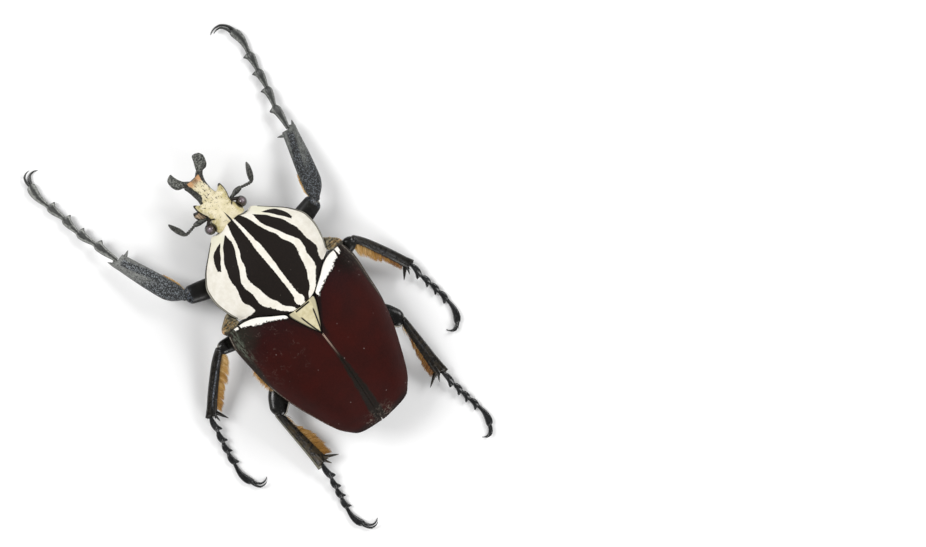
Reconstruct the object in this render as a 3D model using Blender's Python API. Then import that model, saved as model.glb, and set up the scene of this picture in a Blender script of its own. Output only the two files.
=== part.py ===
"""Goliath beetle, a male Goliathus goliatus: a still, life-size model.

The beetle lies low on a flat floor. Its head points along -Y, its left side is +X and +Z is up.
The origin is the middle of the small flat under its breast, on the floor. All sizes are in metres.
"""
import math

import bmesh
import bpy
from mathutils import Matrix, Vector

MM = 0.001

# ---- driving dimensions ---------------------------------------------------------------------
GAP = 0.3 * MM                     # space kept between neighbouring pieces
FLOOR = 0.0                        # level of the belly flat and of the six soles

# Half widths along the body, as (place along Y, half width), from the head end to the tail end.
PRONOTUM_HALF_WIDTH = [(-35.6, 7.4), (-31.8, 11.9), (-28.1, 15.9), (-23.7, 18.6),
                       (-20.5, 18.9), (-15.4, 17.9), (-12.0, 16.5)]
ELYTRA_HALF_WIDTH = [(-10.2, 21.7), (-5.0, 22.5), (4.3, 21.9), (8.5, 21.5), (17.7, 19.3),
                     (25.0, 16.6), (32.7, 13.1), (36.5, 10.0), (38.4, 8.8)]

# Edges that run across the body, as (distance from the midline, place along Y).
PRONOTUM_FRONT = [(0.0, -36.1), (2.0, -35.9), (4.0, -35.1), (5.4, -34.9), (7.4, -35.6)]
PRONOTUM_BASE = [(0.0, -5.1), (2.5, -5.1), (5.0, -5.8), (9.0, -8.35), (13.0, -10.75), (16.5, -12.0)]
ELYTRA_BASE = [(4.9, -5.3), (9.0, -7.9), (13.0, -10.3), (16.5, -11.0), (19.5, -11.0), (21.7, -10.2)]
ELYTRA_END = [(0.0, 38.2), (4.6, 37.7), (7.4, 37.3), (10.0, 36.5)]
WAIST_Y = 13.5 * MM                # where the breast ends and the abdomen begins
PYGIDIUM_Y = 31.5 * MM             # where the last tail plate begins

# Side profile, as (place along Y, height).
PRONOTUM_RIDGE = [(-36.1, 16.6), (-33.5, 20.0), (-27.8, 23.6), (-20.0, 25.5), (-12.0, 25.3), (-5.0, 24.8)]
PRONOTUM_RIM = [(-36.1, 13.4), (-30.0, 13.8), (-20.0, 15.2), (-12.0, 16.8), (-5.0, 16.8)]
ELYTRA_RIDGE = [(-5.6, 24.9), (0.0, 25.3), (8.0, 25.7), (16.0, 25.4), (24.6, 23.6),
                (31.0, 20.6), (35.5, 17.6), (38.4, 15.0)]
ELYTRA_RIM = [(-11.0, 15.2), (-5.0, 13.8), (5.0, 12.9), (20.0, 12.7), (33.0, 13.2), (38.4, 14.0)]
BELLY_KEEL = [(-36.1, 9.0), (-30.0, 6.6), (-20.0, 5.0), (-12.0, 3.4), (-8.5, 1.2), (-6.0, 0.0),
              (6.0, 0.0), (13.5, 1.3), (24.0, 3.6), (31.0, 6.0), (38.4, 11.0)]
KEEL_HALF_WIDTH = 3.6 * MM

# How each arch falls from the midline to the rim, as (power of the distance, power of the rest).
PRONOTUM_ARCH = (2.4, 0.85)
ELYTRA_ARCH = (2.8, 0.62)
BELLY_POWER = 1.3                  # how the belly's sides rise from the keel to the rim
PRONOTUM_CORNER_X = 7.4 * MM       # the shield's front corner
PRONOTUM_SIDE_Y = (-34.6 * MM, -13.0 * MM)
PRONOTUM_BASE_X = 16.5 * MM        # the shield's hind corner
PRONOTUM_MIDDLE = (0.0, -21.0 * MM)
PRONOTUM_EDGE = 1.0 * MM           # thickness of the shield's side rim
UNDERSIDE_INSET = 0.9 * MM         # the front thorax's underside lies this far inside the shield
ELYTRON_THICKNESS = 1.0 * MM
BODY_INSET = 1.6 * MM              # the body's sides lie this far inside the elytra's
BODY_DEPTH = 1.65 * MM             # the body's back lies this far below the elytra's top
ELYTRON_SIDE_Y = (-9.0 * MM, 35.6 * MM)
ELYTRON_TAIL_X = 9.5 * MM
ELYTRON_BASE_X = (5.4 * MM, 21.2 * MM)
ELYTRON_MIDDLE = (10.5 * MM, 10.0 * MM)
SUTURE_END_Y = 31.0 * MM           # from here the two elytra's tips part a little
SHOULDER_DROP = 3.0 * MM           # fall of the elytra towards the thorax at their shoulders,
SHOULDER_X = (9.0 * MM, 17.0 * MM)   # which sets in between these distances from the midline
SHOULDER_Y = (5.0 * MM, 11.0 * MM)   # and these distances forward of the origin
SCUTELLUM_BASE_Y = -5.1 * MM
SCUTELLUM_HALF_WIDTH = 4.8 * MM
SCUTELLUM_WAIST_X = 2.6 * MM       # half width halfway, at y = 0
SCUTELLUM_TIP_Y = 4.6 * MM
BREAST_SHOULDER = (19.0 * MM, -10.4 * MM)
BREAST_SIDE_Y = -8.6 * MM
PYGIDIUM_REAR = [(10.0, 34.2), (7.6, 35.6), (4.2, 36.3), (0.0, 36.6)]
ABDOMEN_PLATES = 5
PLATE_STEP = 0.35 * MM             # the rise from one belly plate to the next
# Outline of the wedge at the elytron's shoulder, its height there and its fall outward.
MESEPIMERON = [(18.3, -15.5), (19.5, -15.0), (21.0, -13.0), (21.9, -11.4), (19.5, -11.5), (17.0, -11.6)]
MESEPIMERON_TOP = (17.6, 0.75)
MESEPIMERON_UNDER = (13.0, 0.5)

HEAD_PIVOT = Vector((0.0, -35.0 * MM, 12.0 * MM))
HEAD_TURN = math.radians(4.0)      # the head is turned a little to the beetle's left
# The head is modelled in a frame of its own, in which forward is -Y from the pivot. Outline and
# profile as (distance forward, half width or height); nape and lobe as points of the outline.
HEAD_NAPE = [(0.0, -1.6), (2.0, -1.7), (3.8, -0.95), (5.0, -0.75)]
HEAD_OUTLINE = [(1.8, 5.6), (3.2, 5.4), (5.4, 4.2), (7.4, 4.6), (9.4, 5.1), (11.0, 5.2)]
HEAD_LOBE = [(4.9, -11.1), (4.0, -10.7), (3.3, -9.9), (2.9, -9.7), (0.0, -9.7)]
HEAD_RIDGE = [(1.8, 16.0), (4.0, 15.6), (7.0, 14.2), (9.6, 12.6), (11.2, 11.6)]
HEAD_UNDER = [(1.8, 8.4), (5.0, 7.6), (9.0, 8.4), (11.2, 9.8)]
EYE_CENTRE = Vector((6.3, -3.0, 13.2)) * MM
EYE_RADII = Vector((1.6, 1.7, 2.2)) * MM
# Tubes of the head as (centre, half width level, half width upward).
HORN_STEM = [((0, -10.0, 10.8), 3.0, 1.6), ((0, -11.6, 10.7), 2.5, 1.5), ((0, -13.4, 10.5), 2.2, 1.4),
             ((0, -15.0, 10.6), 2.5, 1.4), ((0, -16.2, 10.8), 3.1, 1.3), ((0, -17.0, 11.0), 1.9, 0.9)]
HORN_ARM = [((1.0, -15.2, 10.8), 1.1, 1.0), ((2.3, -16.5, 10.9), 1.3, 1.1), ((3.8, -17.7, 11.5), 1.5, 1.1),
            ((4.9, -19.3, 12.5), 1.65, 1.0), ((5.2, -21.0, 13.9), 1.35, 0.85), ((4.8, -22.2, 15.0), 0.8, 0.6),
            ((4.3, -22.8, 15.6), 0.3, 0.3)]
ANTENNA_STEM = [((4.75, -5.6, 11.6), 0.45, 0.45), ((5.6, -5.8, 11.6), 0.5, 0.5),
                ((7.4, -6.2, 11.6), 0.7, 0.65), ((8.6, -6.3, 11.6), 0.65, 0.6),
                ((9.2, -6.2, 11.6), 0.4, 0.4), ((10.6, -5.9, 11.5), 0.5, 0.5),
                ((12.0, -5.7, 11.4), 0.55, 0.5), ((12.7, -6.1, 11.4), 0.5, 0.5)]
ANTENNA_CLUB = [((12.35, -5.4, 11.4), 0.35, 0.35), ((12.8, -6.3, 11.4), 0.8, 0.7),
                ((13.6, -8.0, 11.4), 0.95, 0.85), ((14.3, -9.8, 11.4), 0.85, 0.8),
                ((14.6, -11.0, 11.4), 0.45, 0.45)]
ANTENNA_ROOT = Vector((4.5, -5.6, 0.0)) * MM
ANTENNA_SWEEP = {"left": math.radians(5.0), "right": math.radians(-4.5)}
MOUTH_PLATE = [((0, -2.2, 6.6), 2.6, 0.7), ((0, -5.0, 6.2), 3.2, 0.9), ((0, -7.6, 6.6), 2.4, 0.7)]
MOUTH_FEELER = [((1.6, -5.2, 6.3), 0.6, 0.6), ((3.9, -5.6, 6.7), 0.55, 0.55), ((5.7, -6.6, 8.0), 0.55, 0.55),
                ((6.3, -8.1, 9.2), 0.6, 0.6), ((6.2, -9.4, 9.8), 0.3, 0.3)]

# Each leg pair: coxa centre and radii; femur and tibia length, their half widths along the limb as
# (share of length, sideways, upward) and how far each bows out; the tibia's end as the depth of its
# hollow and its slant; depth of the golden fringe along the tibia as (share, depth) and the reach of
# the spurs; length of the five foot joints, height of their ends above the floor, their half width,
# how far the last one bows out, and the claws' half thickness.
PAIRS = {
    "fore": {
        "coxa": (4.9, -19.5, 5.6), "coxa_radii": (3.3, 3.0, 3.6),
        "femur": 20.0, "femur_bow": 0.0,
        "femur_girth": [(0.0, 1.4, 1.3), (0.2, 2.6, 1.8), (0.6, 3.1, 2.1), (1.0, 2.6, 1.6)],
        "tibia": 22.3, "tibia_bow": 0.45, "tibia_end": (0.3, 1.0),
        "tibia_girth": [(0.0, 1.8, 1.4), (0.06, 2.4, 1.5), (0.16, 2.95, 1.5), (0.35, 3.0, 1.4),
                        (0.65, 2.7, 1.3), (0.9, 2.75, 1.2), (1.0, 2.9, 1.1)],
        "fringe": [], "spurs": (),
        "foot": (7.75, 6.0, 5.75, 5.65, 8.1), "foot_height": (4.0, 2.7, 1.8, 1.25, 1.0, 0.8),
        "foot_width": 1.35, "foot_bow": 0.7, "claw_girth": 0.6,
    },
    "mid": {
        "coxa": (5.6, -2.0, 4.4), "coxa_radii": (3.2, 3.2, 3.1),
        "femur": 21.7, "femur_bow": 0.3,
        "femur_girth": [(0.0, 1.3, 1.1), (0.2, 2.2, 1.5), (0.6, 2.6, 1.8), (1.0, 2.0, 1.4)],
        "tibia": 20.7, "tibia_bow": 0.2, "tibia_end": (0.5, 0.0),
        "tibia_girth": [(0.0, 1.2, 1.1), (0.12, 1.4, 1.2), (0.5, 1.5, 1.15), (0.85, 1.75, 1.1),
                        (1.0, 1.95, 1.0)],
        "fringe": [(0.0, 1.4), (0.2, 3.0), (0.4, 2.9), (0.65, 2.2), (0.9, 1.6)], "spurs": (3.0, 2.2),
        "foot": (5.05, 3.8, 3.6, 3.95, 7.9), "foot_height": (3.4, 2.2, 1.5, 1.0, 0.75, 0.65),
        "foot_width": 1.0, "foot_bow": 0.8, "claw_girth": 0.52,
    },
    "hind": {
        "coxa": (8.6, 6.4, 4.6), "coxa_radii": (5.2, 3.1, 3.0),
        "femur": 19.9, "femur_bow": 1.0,
        "femur_girth": [(0.0, 1.5, 1.3), (0.2, 2.8, 1.8), (0.65, 3.4, 2.0), (1.0, 2.4, 1.5)],
        "tibia": 20.9, "tibia_bow": 0.0, "tibia_end": (0.5, 0.0),
        "tibia_girth": [(0.0, 1.4, 1.3), (0.12, 1.65, 1.35), (0.5, 1.7, 1.25), (0.85, 2.0, 1.15),
                        (1.0, 2.3, 1.0)],
        "fringe": [(0.0, 0.8), (0.3, 2.2), (0.5, 3.2), (0.8, 3.0), (0.9, 2.6)], "spurs": (3.4, 2.5),
        "foot": (5.4, 3.65, 3.35, 3.7, 7.2), "foot_height": (3.4, 2.2, 1.5, 1.0, 0.75, 0.65),
        "foot_width": 1.05, "foot_bow": 0.7, "claw_girth": 0.52,
    },
}
# Pose of each leg, in degrees as on the left side: heading and rise of femur and tibia, headings
# of the five foot joints, and the turn inward and the reach in millimetres of each claw.
POSE = {
    ("fore", "left"): {"femur": (-19.4, 7.5), "tibia": (-67.4, -10.9),
                       "foot": (-74.5, -73.0, -84.5, -76.9, -88.0), "claws": ((0.0, 4.9), (-25.0, 3.6))},
    ("fore", "right"): {"femur": (-15.1, 7.5), "tibia": (-72.0, -10.9),
                        "foot": (-82.5, -73.7, -78.4, -79.9, -89.0), "claws": ((0.0, 6.6), (-3.0, 6.3))},
    ("mid", "left"): {"femur": (-16.2, 13.6), "tibia": (47.7, -17.1),
                      "foot": (79.0, 78.1, 77.8, 82.3, 95.1), "claws": ((0.0, 4.8), (-4.0, 4.5))},
    ("mid", "right"): {"femur": (-18.5, 13.6), "tibia": (61.3, -17.1),
                       "foot": (85.0, 76.3, 79.4, 82.7, 103.0), "claws": ((25.0, 3.4), (15.0, 3.2))},
    ("hind", "left"): {"femur": (38.3, 11.3), "tibia": (94.6, -14.1),
                       "foot": (86.5, 79.8, 80.3, 79.8, 97.1), "claws": ((0.0, 4.8), (-4.0, 4.6))},
    ("hind", "right"): {"femur": (44.0, 11.3), "tibia": (89.9, -14.1),
                        "foot": (82.0, 80.5, 80.5, 77.9, 95.7), "claws": ((0.0, 4.6), (-4.0, 4.4))},
}
SIDES = {"left": 1.0, "right": -1.0}
FRINGE_LOCKS = 12                  # golden locks along each middle and hind tibia
FOOT_STEP_OUT = 0.35 * MM          # the foot springs a little outside the tibia's axis
CLAW_SWEEP = math.radians(112.0)

IVORY = (0.80, 0.77, 0.68)
CREAM = (0.72, 0.64, 0.42)
MAROON = (0.045, 0.012, 0.012)
BLACK = (0.012, 0.012, 0.013)
GREY_BLACK = (0.035, 0.038, 0.040)
EYE_BROWN = (0.07, 0.055, 0.050)
TAN = (0.30, 0.22, 0.15)


# ---- helpers: curves along the body, closed meshes, unions and cuts ---------------------------
def curve(stations):
    """A smooth function of one variable through (place, value) pairs given in millimetres."""
    xs = [place * MM for place, _ in stations]
    ys = [value * MM for _, value in stations]
    last = len(xs) - 1

    def slope(i):
        before = (ys[max(i, 1)] - ys[max(i, 1) - 1]) / (xs[max(i, 1)] - xs[max(i, 1) - 1])
        after = (ys[min(i, last - 1) + 1] - ys[min(i, last - 1)])
        after /= xs[min(i, last - 1) + 1] - xs[min(i, last - 1)]
        if before * after <= 0:
            return 0.0
        return 2 * before * after / (before + after)

    def value_at(x):
        if x <= xs[0]:
            return ys[0]
        if x >= xs[last]:
            return ys[last]
        i = max(k for k in range(last) if xs[k] <= x)
        step = xs[i + 1] - xs[i]
        t = (x - xs[i]) / step
        rise = ys[i] * (1 - t) ** 2 * (1 + 2 * t) + ys[i + 1] * t * t * (3 - 2 * t)
        return rise + step * (slope(i) * t * (1 - t) ** 2 - slope(i + 1) * t * t * (1 - t))

    return value_at


def ramp(x, start, end):
    """0 before start, 1 after end and a soft step between them."""
    t = min(max((x - start) / (end - start), 0.0), 1.0)
    return t * t * (3 - 2 * t)


def spread(start, end, count):
    """Evenly spaced values from start to end, both included."""
    return [start + (end - start) * k / (count - 1) for k in range(count)]


def finish(name, color, roughness, metallic=0.0):
    """The piece's own material."""
    mat = bpy.data.materials.new(name)
    mat.use_nodes = True
    shader = mat.node_tree.nodes["Principled BSDF"]
    shader.inputs["Base Color"].default_value = (*color, 1.0)
    shader.inputs["Roughness"].default_value = roughness
    shader.inputs["Metallic"].default_value = metallic
    return mat


def solid(name, points, faces):
    """An object from closed faces, with its normals pointing out."""
    mesh = bpy.data.meshes.new(name)
    bm = bmesh.new()
    verts = [bm.verts.new(point) for point in points]
    for face in faces:
        bm.faces.new([verts[i] for i in face])
    bmesh.ops.recalc_face_normals(bm, faces=bm.faces)
    bm.to_mesh(mesh)
    bm.free()
    obj = bpy.data.objects.new(name, mesh)
    bpy.context.collection.objects.link(obj)
    return obj


def dress(obj, color, roughness):
    """Colour a finished piece and shade its round stretches smooth."""
    obj.data.materials.clear()
    obj.data.materials.append(finish(obj.name, color, roughness))
    obj.data.shade_smooth()
    obj.data.set_sharp_from_angle(angle=math.radians(40.0))
    return obj


def keep_largest(obj):
    """Drop every closed surface of the object's mesh but the largest."""
    bm = bmesh.new()
    bm.from_mesh(obj.data)
    left = set(bm.verts)
    groups = []
    while left:
        group = set()
        front = [left.pop()]
        while front:
            vert = front.pop()
            group.add(vert)
            for edge in vert.link_edges:
                other = edge.other_vert(vert)
                if other in left:
                    left.remove(other)
                    front.append(other)
        groups.append(group)
    groups.sort(key=len)
    scraps = [vert for group in groups[:-1] for vert in group]
    bmesh.ops.delete(bm, geom=scraps, context="VERTS")
    bm.to_mesh(obj.data)
    bm.free()


def combine(obj, others, operation):
    """One exact Boolean of the object with a collection of closed meshes, then applied."""
    helpers = bpy.data.collections.new("helpers")
    for other in others:
        bpy.context.collection.objects.unlink(other)
        helpers.objects.link(other)
    step = obj.modifiers.new(operation.lower(), "BOOLEAN")
    step.operation = operation
    step.operand_type = "COLLECTION"
    step.collection = helpers
    step.solver = "EXACT"
    graph = bpy.context.evaluated_depsgraph_get()
    graph.update()
    mesh = bpy.data.meshes.new_from_object(obj.evaluated_get(graph))
    obj.modifiers.clear()
    obj.data = mesh
    for other in others:
        bpy.data.objects.remove(other)
    bpy.data.collections.remove(helpers)
    keep_largest(obj)
    return obj


def ball(name, centre, radii, sides=10, rings=6):
    """A closed ellipsoid."""
    points = []
    for k in range(1, rings):
        polar = math.pi * k / rings
        for i in range(sides):
            around = 2 * math.pi * i / sides
            unit = Vector((math.sin(polar) * math.cos(around), math.sin(polar) * math.sin(around),
                           math.cos(polar)))
            points.append(centre + Matrix.Diagonal(radii) @ unit)
    top = len(points)
    points.append(centre + Vector((0, 0, radii[2])))
    points.append(centre - Vector((0, 0, radii[2])))
    faces = []
    for i in range(sides):
        j = (i + 1) % sides
        faces.append((top, i, j))
        for k in range(rings - 2):
            faces.append((k * sides + i, (k + 1) * sides + i, (k + 1) * sides + j, k * sides + j))
        base = (rings - 2) * sides
        faces.append((top + 1, base + j, base + i))
    return solid(name, points, faces)


def skin_rings(name, rings):
    """A closed tube through rings of points, each end closed by a fan round its middle."""
    sides = len(rings[0])
    points = [point for ring in rings for point in ring]
    faces = []
    for k in range(len(rings) - 1):
        for i in range(sides):
            j = (i + 1) % sides
            faces.append((k * sides + i, k * sides + j, (k + 1) * sides + j, (k + 1) * sides + i))
    for ring, start in ((rings[0], 0), (rings[-1], (len(rings) - 1) * sides)):
        hub = len(points)
        points.append(sum(ring, Vector()) / sides)
        for i in range(sides):
            faces.append((hub, start + i, start + (i + 1) % sides))
    return solid(name, points, faces)


def shield(name, outline, middle, top, bottom, inner=None, upper=5, lower=2):
    """A plate over an outline that its middle sees whole: rings of the outline drawn towards the
    middle, lifted to the top surface above and to the bottom surface below."""
    inner = inner or outline
    count = len(outline)
    points = []
    for k in range(upper):
        share = math.sin(math.pi / 2 * (upper - k) / upper)
        for x, y in outline:
            px = middle[0] + (x - middle[0]) * share
            py = middle[1] + (y - middle[1]) * share
            points.append(Vector((px, py, top(px, py))))
    for k in range(lower):
        share = (lower - k) / lower
        for x, y in inner:
            px = middle[0] + (x - middle[0]) * share
            py = middle[1] + (y - middle[1]) * share
            points.append(Vector((px, py, bottom(px, py))))
    faces = []
    for i in range(count):
        j = (i + 1) % count
        for k in range(upper - 1):
            faces.append((k * count + i, k * count + j, (k + 1) * count + j, (k + 1) * count + i))
        for k in range(upper, upper + lower - 1):
            faces.append((k * count + j, k * count + i, (k + 1) * count + i, (k + 1) * count + j))
        faces.append((i, upper * count + i, upper * count + j, j))
    for start, level in (((upper - 1) * count, top), ((upper + lower - 1) * count, bottom)):
        hub = len(points)
        points.append(Vector((middle[0], middle[1], level(*middle))))
        for i in range(count):
            faces.append((hub, start + i, start + (i + 1) % count))
    return solid(name, points, faces)


def both_sides(half):
    """A closed outline from its +X half, which runs from one midline point to the other."""
    return half + [(-x, y) for x, y in reversed(half) if x > 0]


# ---- surfaces of the body ---------------------------------------------------------------------
pronotum_width = curve(PRONOTUM_HALF_WIDTH)
pronotum_front = curve(PRONOTUM_FRONT)
pronotum_base = curve(PRONOTUM_BASE)
pronotum_ridge = curve(PRONOTUM_RIDGE)
pronotum_rim = curve(PRONOTUM_RIM)
elytra_width = curve(ELYTRA_HALF_WIDTH)
elytra_base = curve(ELYTRA_BASE)
elytra_end = curve(ELYTRA_END)
elytra_ridge = curve(ELYTRA_RIDGE)
elytra_rim = curve(ELYTRA_RIM)
belly_keel = curve(BELLY_KEEL)


def pronotum_top(x, y):
    """Upper surface of the pronotum: a gently arched shield."""
    t = min(abs(x) / pronotum_width(y), 1.0)
    arch = (1 - t ** PRONOTUM_ARCH[0]) ** PRONOTUM_ARCH[1]
    return pronotum_rim(y) + (pronotum_ridge(y) - pronotum_rim(y)) * arch


def pronotum_under(x, y):
    """Lower surface of the pronotum, level with its side rims."""
    return pronotum_rim(y) - PRONOTUM_EDGE


def elytra_dome(x, y, inset):
    """The elytra's upper surface, or the surface that lies inset inside it."""
    rim = elytra_rim(y)
    t = min(abs(x) / (elytra_width(y) - inset), 1.0)
    arch = (1 - t ** ELYTRA_ARCH[0]) ** ELYTRA_ARCH[1]
    drop = SHOULDER_DROP * ramp(abs(x), *SHOULDER_X) * ramp(-y, *SHOULDER_Y)
    return rim + (elytra_ridge(y) - inset - rim - drop) * arch


def belly(x, y):
    """Underside of the body: a flat keel, with sides that rise to the rim."""
    side = min(pronotum_width(y), elytra_width(y)) - 1.2 * MM
    rim = (pronotum_rim(y) - 2.2 * MM) if y < BREAST_SIDE_Y else (elytra_rim(y) - 0.8 * MM)
    t = max(abs(x) - KEEL_HALF_WIDTH, 0.0) / (side - KEEL_HALF_WIDTH)
    return belly_keel(y) + (rim - belly_keel(y)) * min(t, 1.0) ** BELLY_POWER


# ---- body -------------------------------------------------------------------------------------
def pronotum_outline(inset):
    """Outline of the thorax shield, drawn in by inset at its sides."""
    front = [(x, pronotum_front(x)) for x in spread(0.0, PRONOTUM_CORNER_X - inset, 5)]
    side = [(pronotum_width(y) - inset, y) for y in spread(*PRONOTUM_SIDE_Y, 10)]
    base = [(x, pronotum_base(x)) for x in spread(PRONOTUM_BASE_X - inset, 0.0, 9)]
    return both_sides(front + side + base)


def make_pronotum():
    """The thorax shield, a solid cap."""
    outline = pronotum_outline(0.0)
    plate = shield("pronotum", outline, PRONOTUM_MIDDLE, pronotum_top, pronotum_under, upper=7)
    return dress(plate, IVORY, 0.55)


def make_prosternum():
    """The underside of the front thorax."""
    def top(x, y):
        return pronotum_under(x, y) - GAP

    def bottom(x, y):
        return min(belly(x, y), top(x, y) - 0.7 * MM)

    outline = pronotum_outline(UNDERSIDE_INSET)
    piece = shield("prosternum", outline, PRONOTUM_MIDDLE, top, bottom, upper=2, lower=5)
    combine(piece, leg_room("fore"), "DIFFERENCE")
    return dress(piece, BLACK, 0.4)


def make_scutellum():
    """The small triangular shield between the elytra."""
    base_y = SCUTELLUM_BASE_Y + GAP
    corner_x = SCUTELLUM_HALF_WIDTH - 0.2 * MM

    def top(x, y):
        return elytra_dome(x, y, 0.0) + 0.1 * MM

    def bottom(x, y):
        return elytra_dome(x, y, ELYTRON_THICKNESS)

    base = [(0.0, base_y), (corner_x / 2, base_y), (corner_x, base_y - 0.3 * MM)]
    side = [(corner_x, base_y + 0.6 * MM), (SCUTELLUM_WAIST_X, 0.0), (0.0, SCUTELLUM_TIP_Y)]
    outline = both_sides(base + side)
    return dress(shield("scutellum", outline, (0.0, -2.2 * MM), top, bottom, upper=3), CREAM, 0.5)


def make_elytron(side):
    """One wing cover: a thin shell, open below, from the thorax shield to the tail."""
    sign = SIDES[side]
    seam = GAP / 2
    wall = ELYTRON_THICKNESS
    rear = [(elytra_width(y), y) for y in spread(*ELYTRON_SIDE_Y, 15)]
    tail = [(x, elytra_end(x)) for x in spread(ELYTRON_TAIL_X, seam, 5)]
    suture = [(seam, y) for y in spread(SUTURE_END_Y, SCUTELLUM_TIP_Y + 2 * GAP, 5)]
    notch = [(SCUTELLUM_WAIST_X + GAP, GAP), (SCUTELLUM_HALF_WIDTH + GAP, SCUTELLUM_BASE_Y + 0.7 * MM)]
    base = [(x, elytra_base(x) + 0.1 * MM) for x in spread(*ELYTRON_BASE_X, 8)]
    outline = rear + tail + suture + notch + base
    inner = []
    for x, y in outline:
        x_in = min(x, elytra_width(y) - wall)
        inner.append((x_in, min(y, elytra_end(x_in) - wall)))
    outline = [(sign * x, y) for x, y in outline]
    inner = [(sign * x, y) for x, y in inner]

    def top(x, y):
        return elytra_dome(x, y, 0.0)

    def bottom(x, y):
        return elytra_dome(x, y, wall)

    middle = (sign * ELYTRON_MIDDLE[0], ELYTRON_MIDDLE[1])
    shell = shield("elytron_" + side, outline, middle, top, bottom, inner=inner, upper=6, lower=5)
    return dress(shell, MAROON, 0.6)


def inside_elytra(x, y):
    """The body's back, just under the elytra."""
    return elytra_dome(x, y, BODY_DEPTH)


def make_breast():
    """Middle and hind thorax in one piece, under the elytra's front half."""
    front = [(x, pronotum_base(x) + GAP + 0.1 * MM) for x in spread(0.0, PRONOTUM_BASE_X, 6)]
    shoulder = [BREAST_SHOULDER]
    side = [(elytra_width(y) - BODY_INSET, y) for y in spread(BREAST_SIDE_Y, WAIST_Y, 6)]
    rear = [(x, WAIST_Y) for x in spread(13.0 * MM, 0.0, 3)]
    outline = both_sides(front + shoulder + side + rear)
    piece = shield("breast", outline, (0.0, 0.0), inside_elytra, belly, upper=4, lower=6)
    combine(piece, leg_room("mid") + leg_room("hind"), "DIFFERENCE")
    return dress(piece, BLACK, 0.4)


def make_abdomen():
    """The abdomen, with the steps of its belly plates."""
    start_y = WAIST_Y + GAP
    end_y = PYGIDIUM_Y
    plate = (end_y - start_y) / ABDOMEN_PLATES

    def bottom(x, y):
        step = ((y - start_y) / plate) % 1.0
        return belly(x, y) + PLATE_STEP * step

    front = [(x, start_y) for x in spread(0.0, 15.0 * MM, 4)]
    side = [(elytra_width(y) - BODY_INSET, y) for y in spread(start_y, end_y, 11)]
    rear = [(x, end_y) for x in spread(9.0 * MM, 0.0, 3)]
    outline = both_sides(front + side + rear)
    piece = shield("abdomen", outline, (0.0, 23.0 * MM), inside_elytra, bottom, upper=4, lower=6)
    combine(piece, leg_room("hind"), "DIFFERENCE")
    return dress(piece, BLACK, 0.35)


def make_pygidium():
    """The last tail plate, which closes the body below the elytra's tips."""
    start_y = PYGIDIUM_Y + GAP
    front = [(x, start_y) for x in spread(0.0, elytra_width(start_y) - BODY_INSET, 4)]
    rear = [(x * MM, y * MM) for x, y in PYGIDIUM_REAR]
    outline = both_sides(front + rear)
    piece = shield("pygidium", outline, (0.0, 33.6 * MM), inside_elytra, belly, upper=3, lower=3)
    return dress(piece, BLACK, 0.35)


def make_mesepimeron(side):
    """The small wedge between the shield's hind corner and the elytron's shoulder."""
    sign = SIDES[side]
    outline = [(sign * x * MM, y * MM) for x, y in MESEPIMERON]
    root = MESEPIMERON[-1][0]

    def top(x, y):
        return (MESEPIMERON_TOP[0] - MESEPIMERON_TOP[1] * (abs(x) / MM - root)) * MM

    def bottom(x, y):
        return (MESEPIMERON_UNDER[0] - MESEPIMERON_UNDER[1] * (abs(x) / MM - root)) * MM

    wedge = shield("mesepimeron_" + side, outline, (sign * 19.4 * MM, -12.9 * MM), top, bottom, upper=2)
    return dress(wedge, TAN, 0.7)


# ---- head -------------------------------------------------------------------------------------
def head_place(point):
    """From the head's own frame (forward is -Y from the pivot) to the turned head's place."""
    return HEAD_PIVOT + Matrix.Rotation(HEAD_TURN, 3, "Z") @ (point - Vector((0, 0, HEAD_PIVOT.z)))


def turn_head(obj):
    """Move a piece modelled in the head's own frame to its place."""
    for vert in obj.data.vertices:
        vert.co = head_place(vert.co)
    return obj


def make_head():
    """The head capsule, with a lobe at each front corner."""
    width = curve(HEAD_OUTLINE)
    ridge = curve(HEAD_RIDGE)
    under = curve(HEAD_UNDER)
    nape = [(x * MM, y * MM) for x, y in HEAD_NAPE]
    side = [(width(g), -g) for g in spread(1.8 * MM, 10.4 * MM, 8)]
    lobe = [(x * MM, y * MM) for x, y in HEAD_LOBE]
    outline = both_sides(nape + side + lobe)

    def top(x, y):
        t = min(abs(x) / (width(-y) * 1.04), 1.0)
        low = (ridge(-y) + under(-y)) / 2
        return low + (ridge(-y) - low) * (1 - t ** 3) ** 0.6

    def bottom(x, y):
        t = min(abs(x) / (width(-y) * 1.04), 1.0)
        low = (ridge(-y) + under(-y)) / 2 - 0.5 * MM
        return low - (low - under(-y)) * (1 - t ** 2.4) ** 0.6

    head = shield("head", outline, (0.0, -5.6 * MM), top, bottom, upper=5, lower=4)
    sockets = [ball("socket", Vector((sign * EYE_CENTRE.x, EYE_CENTRE.y, EYE_CENTRE.z)),
                    EYE_RADII + Vector((GAP, GAP, GAP))) for sign in (1.0, -1.0)]
    combine(head, sockets, "DIFFERENCE")
    return dress(turn_head(head), CREAM, 0.5)


def make_eye(side):
    """A domed eye, set in its socket behind the antenna."""
    centre = Vector((SIDES[side] * EYE_CENTRE.x, EYE_CENTRE.y, EYE_CENTRE.z))
    return dress(turn_head(ball("eye_" + side, centre, EYE_RADII, 14, 8)), EYE_BROWN, 0.15)


def arc_rings(stations, sides):
    """Rings round a path of (centre, sideways half width, upward half width) in millimetres."""
    rings = []
    centres = [Vector(centre) * MM for centre, _, _ in stations]
    for k, (_, across, up) in enumerate(stations):
        ahead = centres[min(k + 1, len(centres) - 1)] - centres[max(k - 1, 0)]
        rings.append(ring(centres[k], ahead.normalized(), across * MM, up * MM, sides))
    return rings


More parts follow.
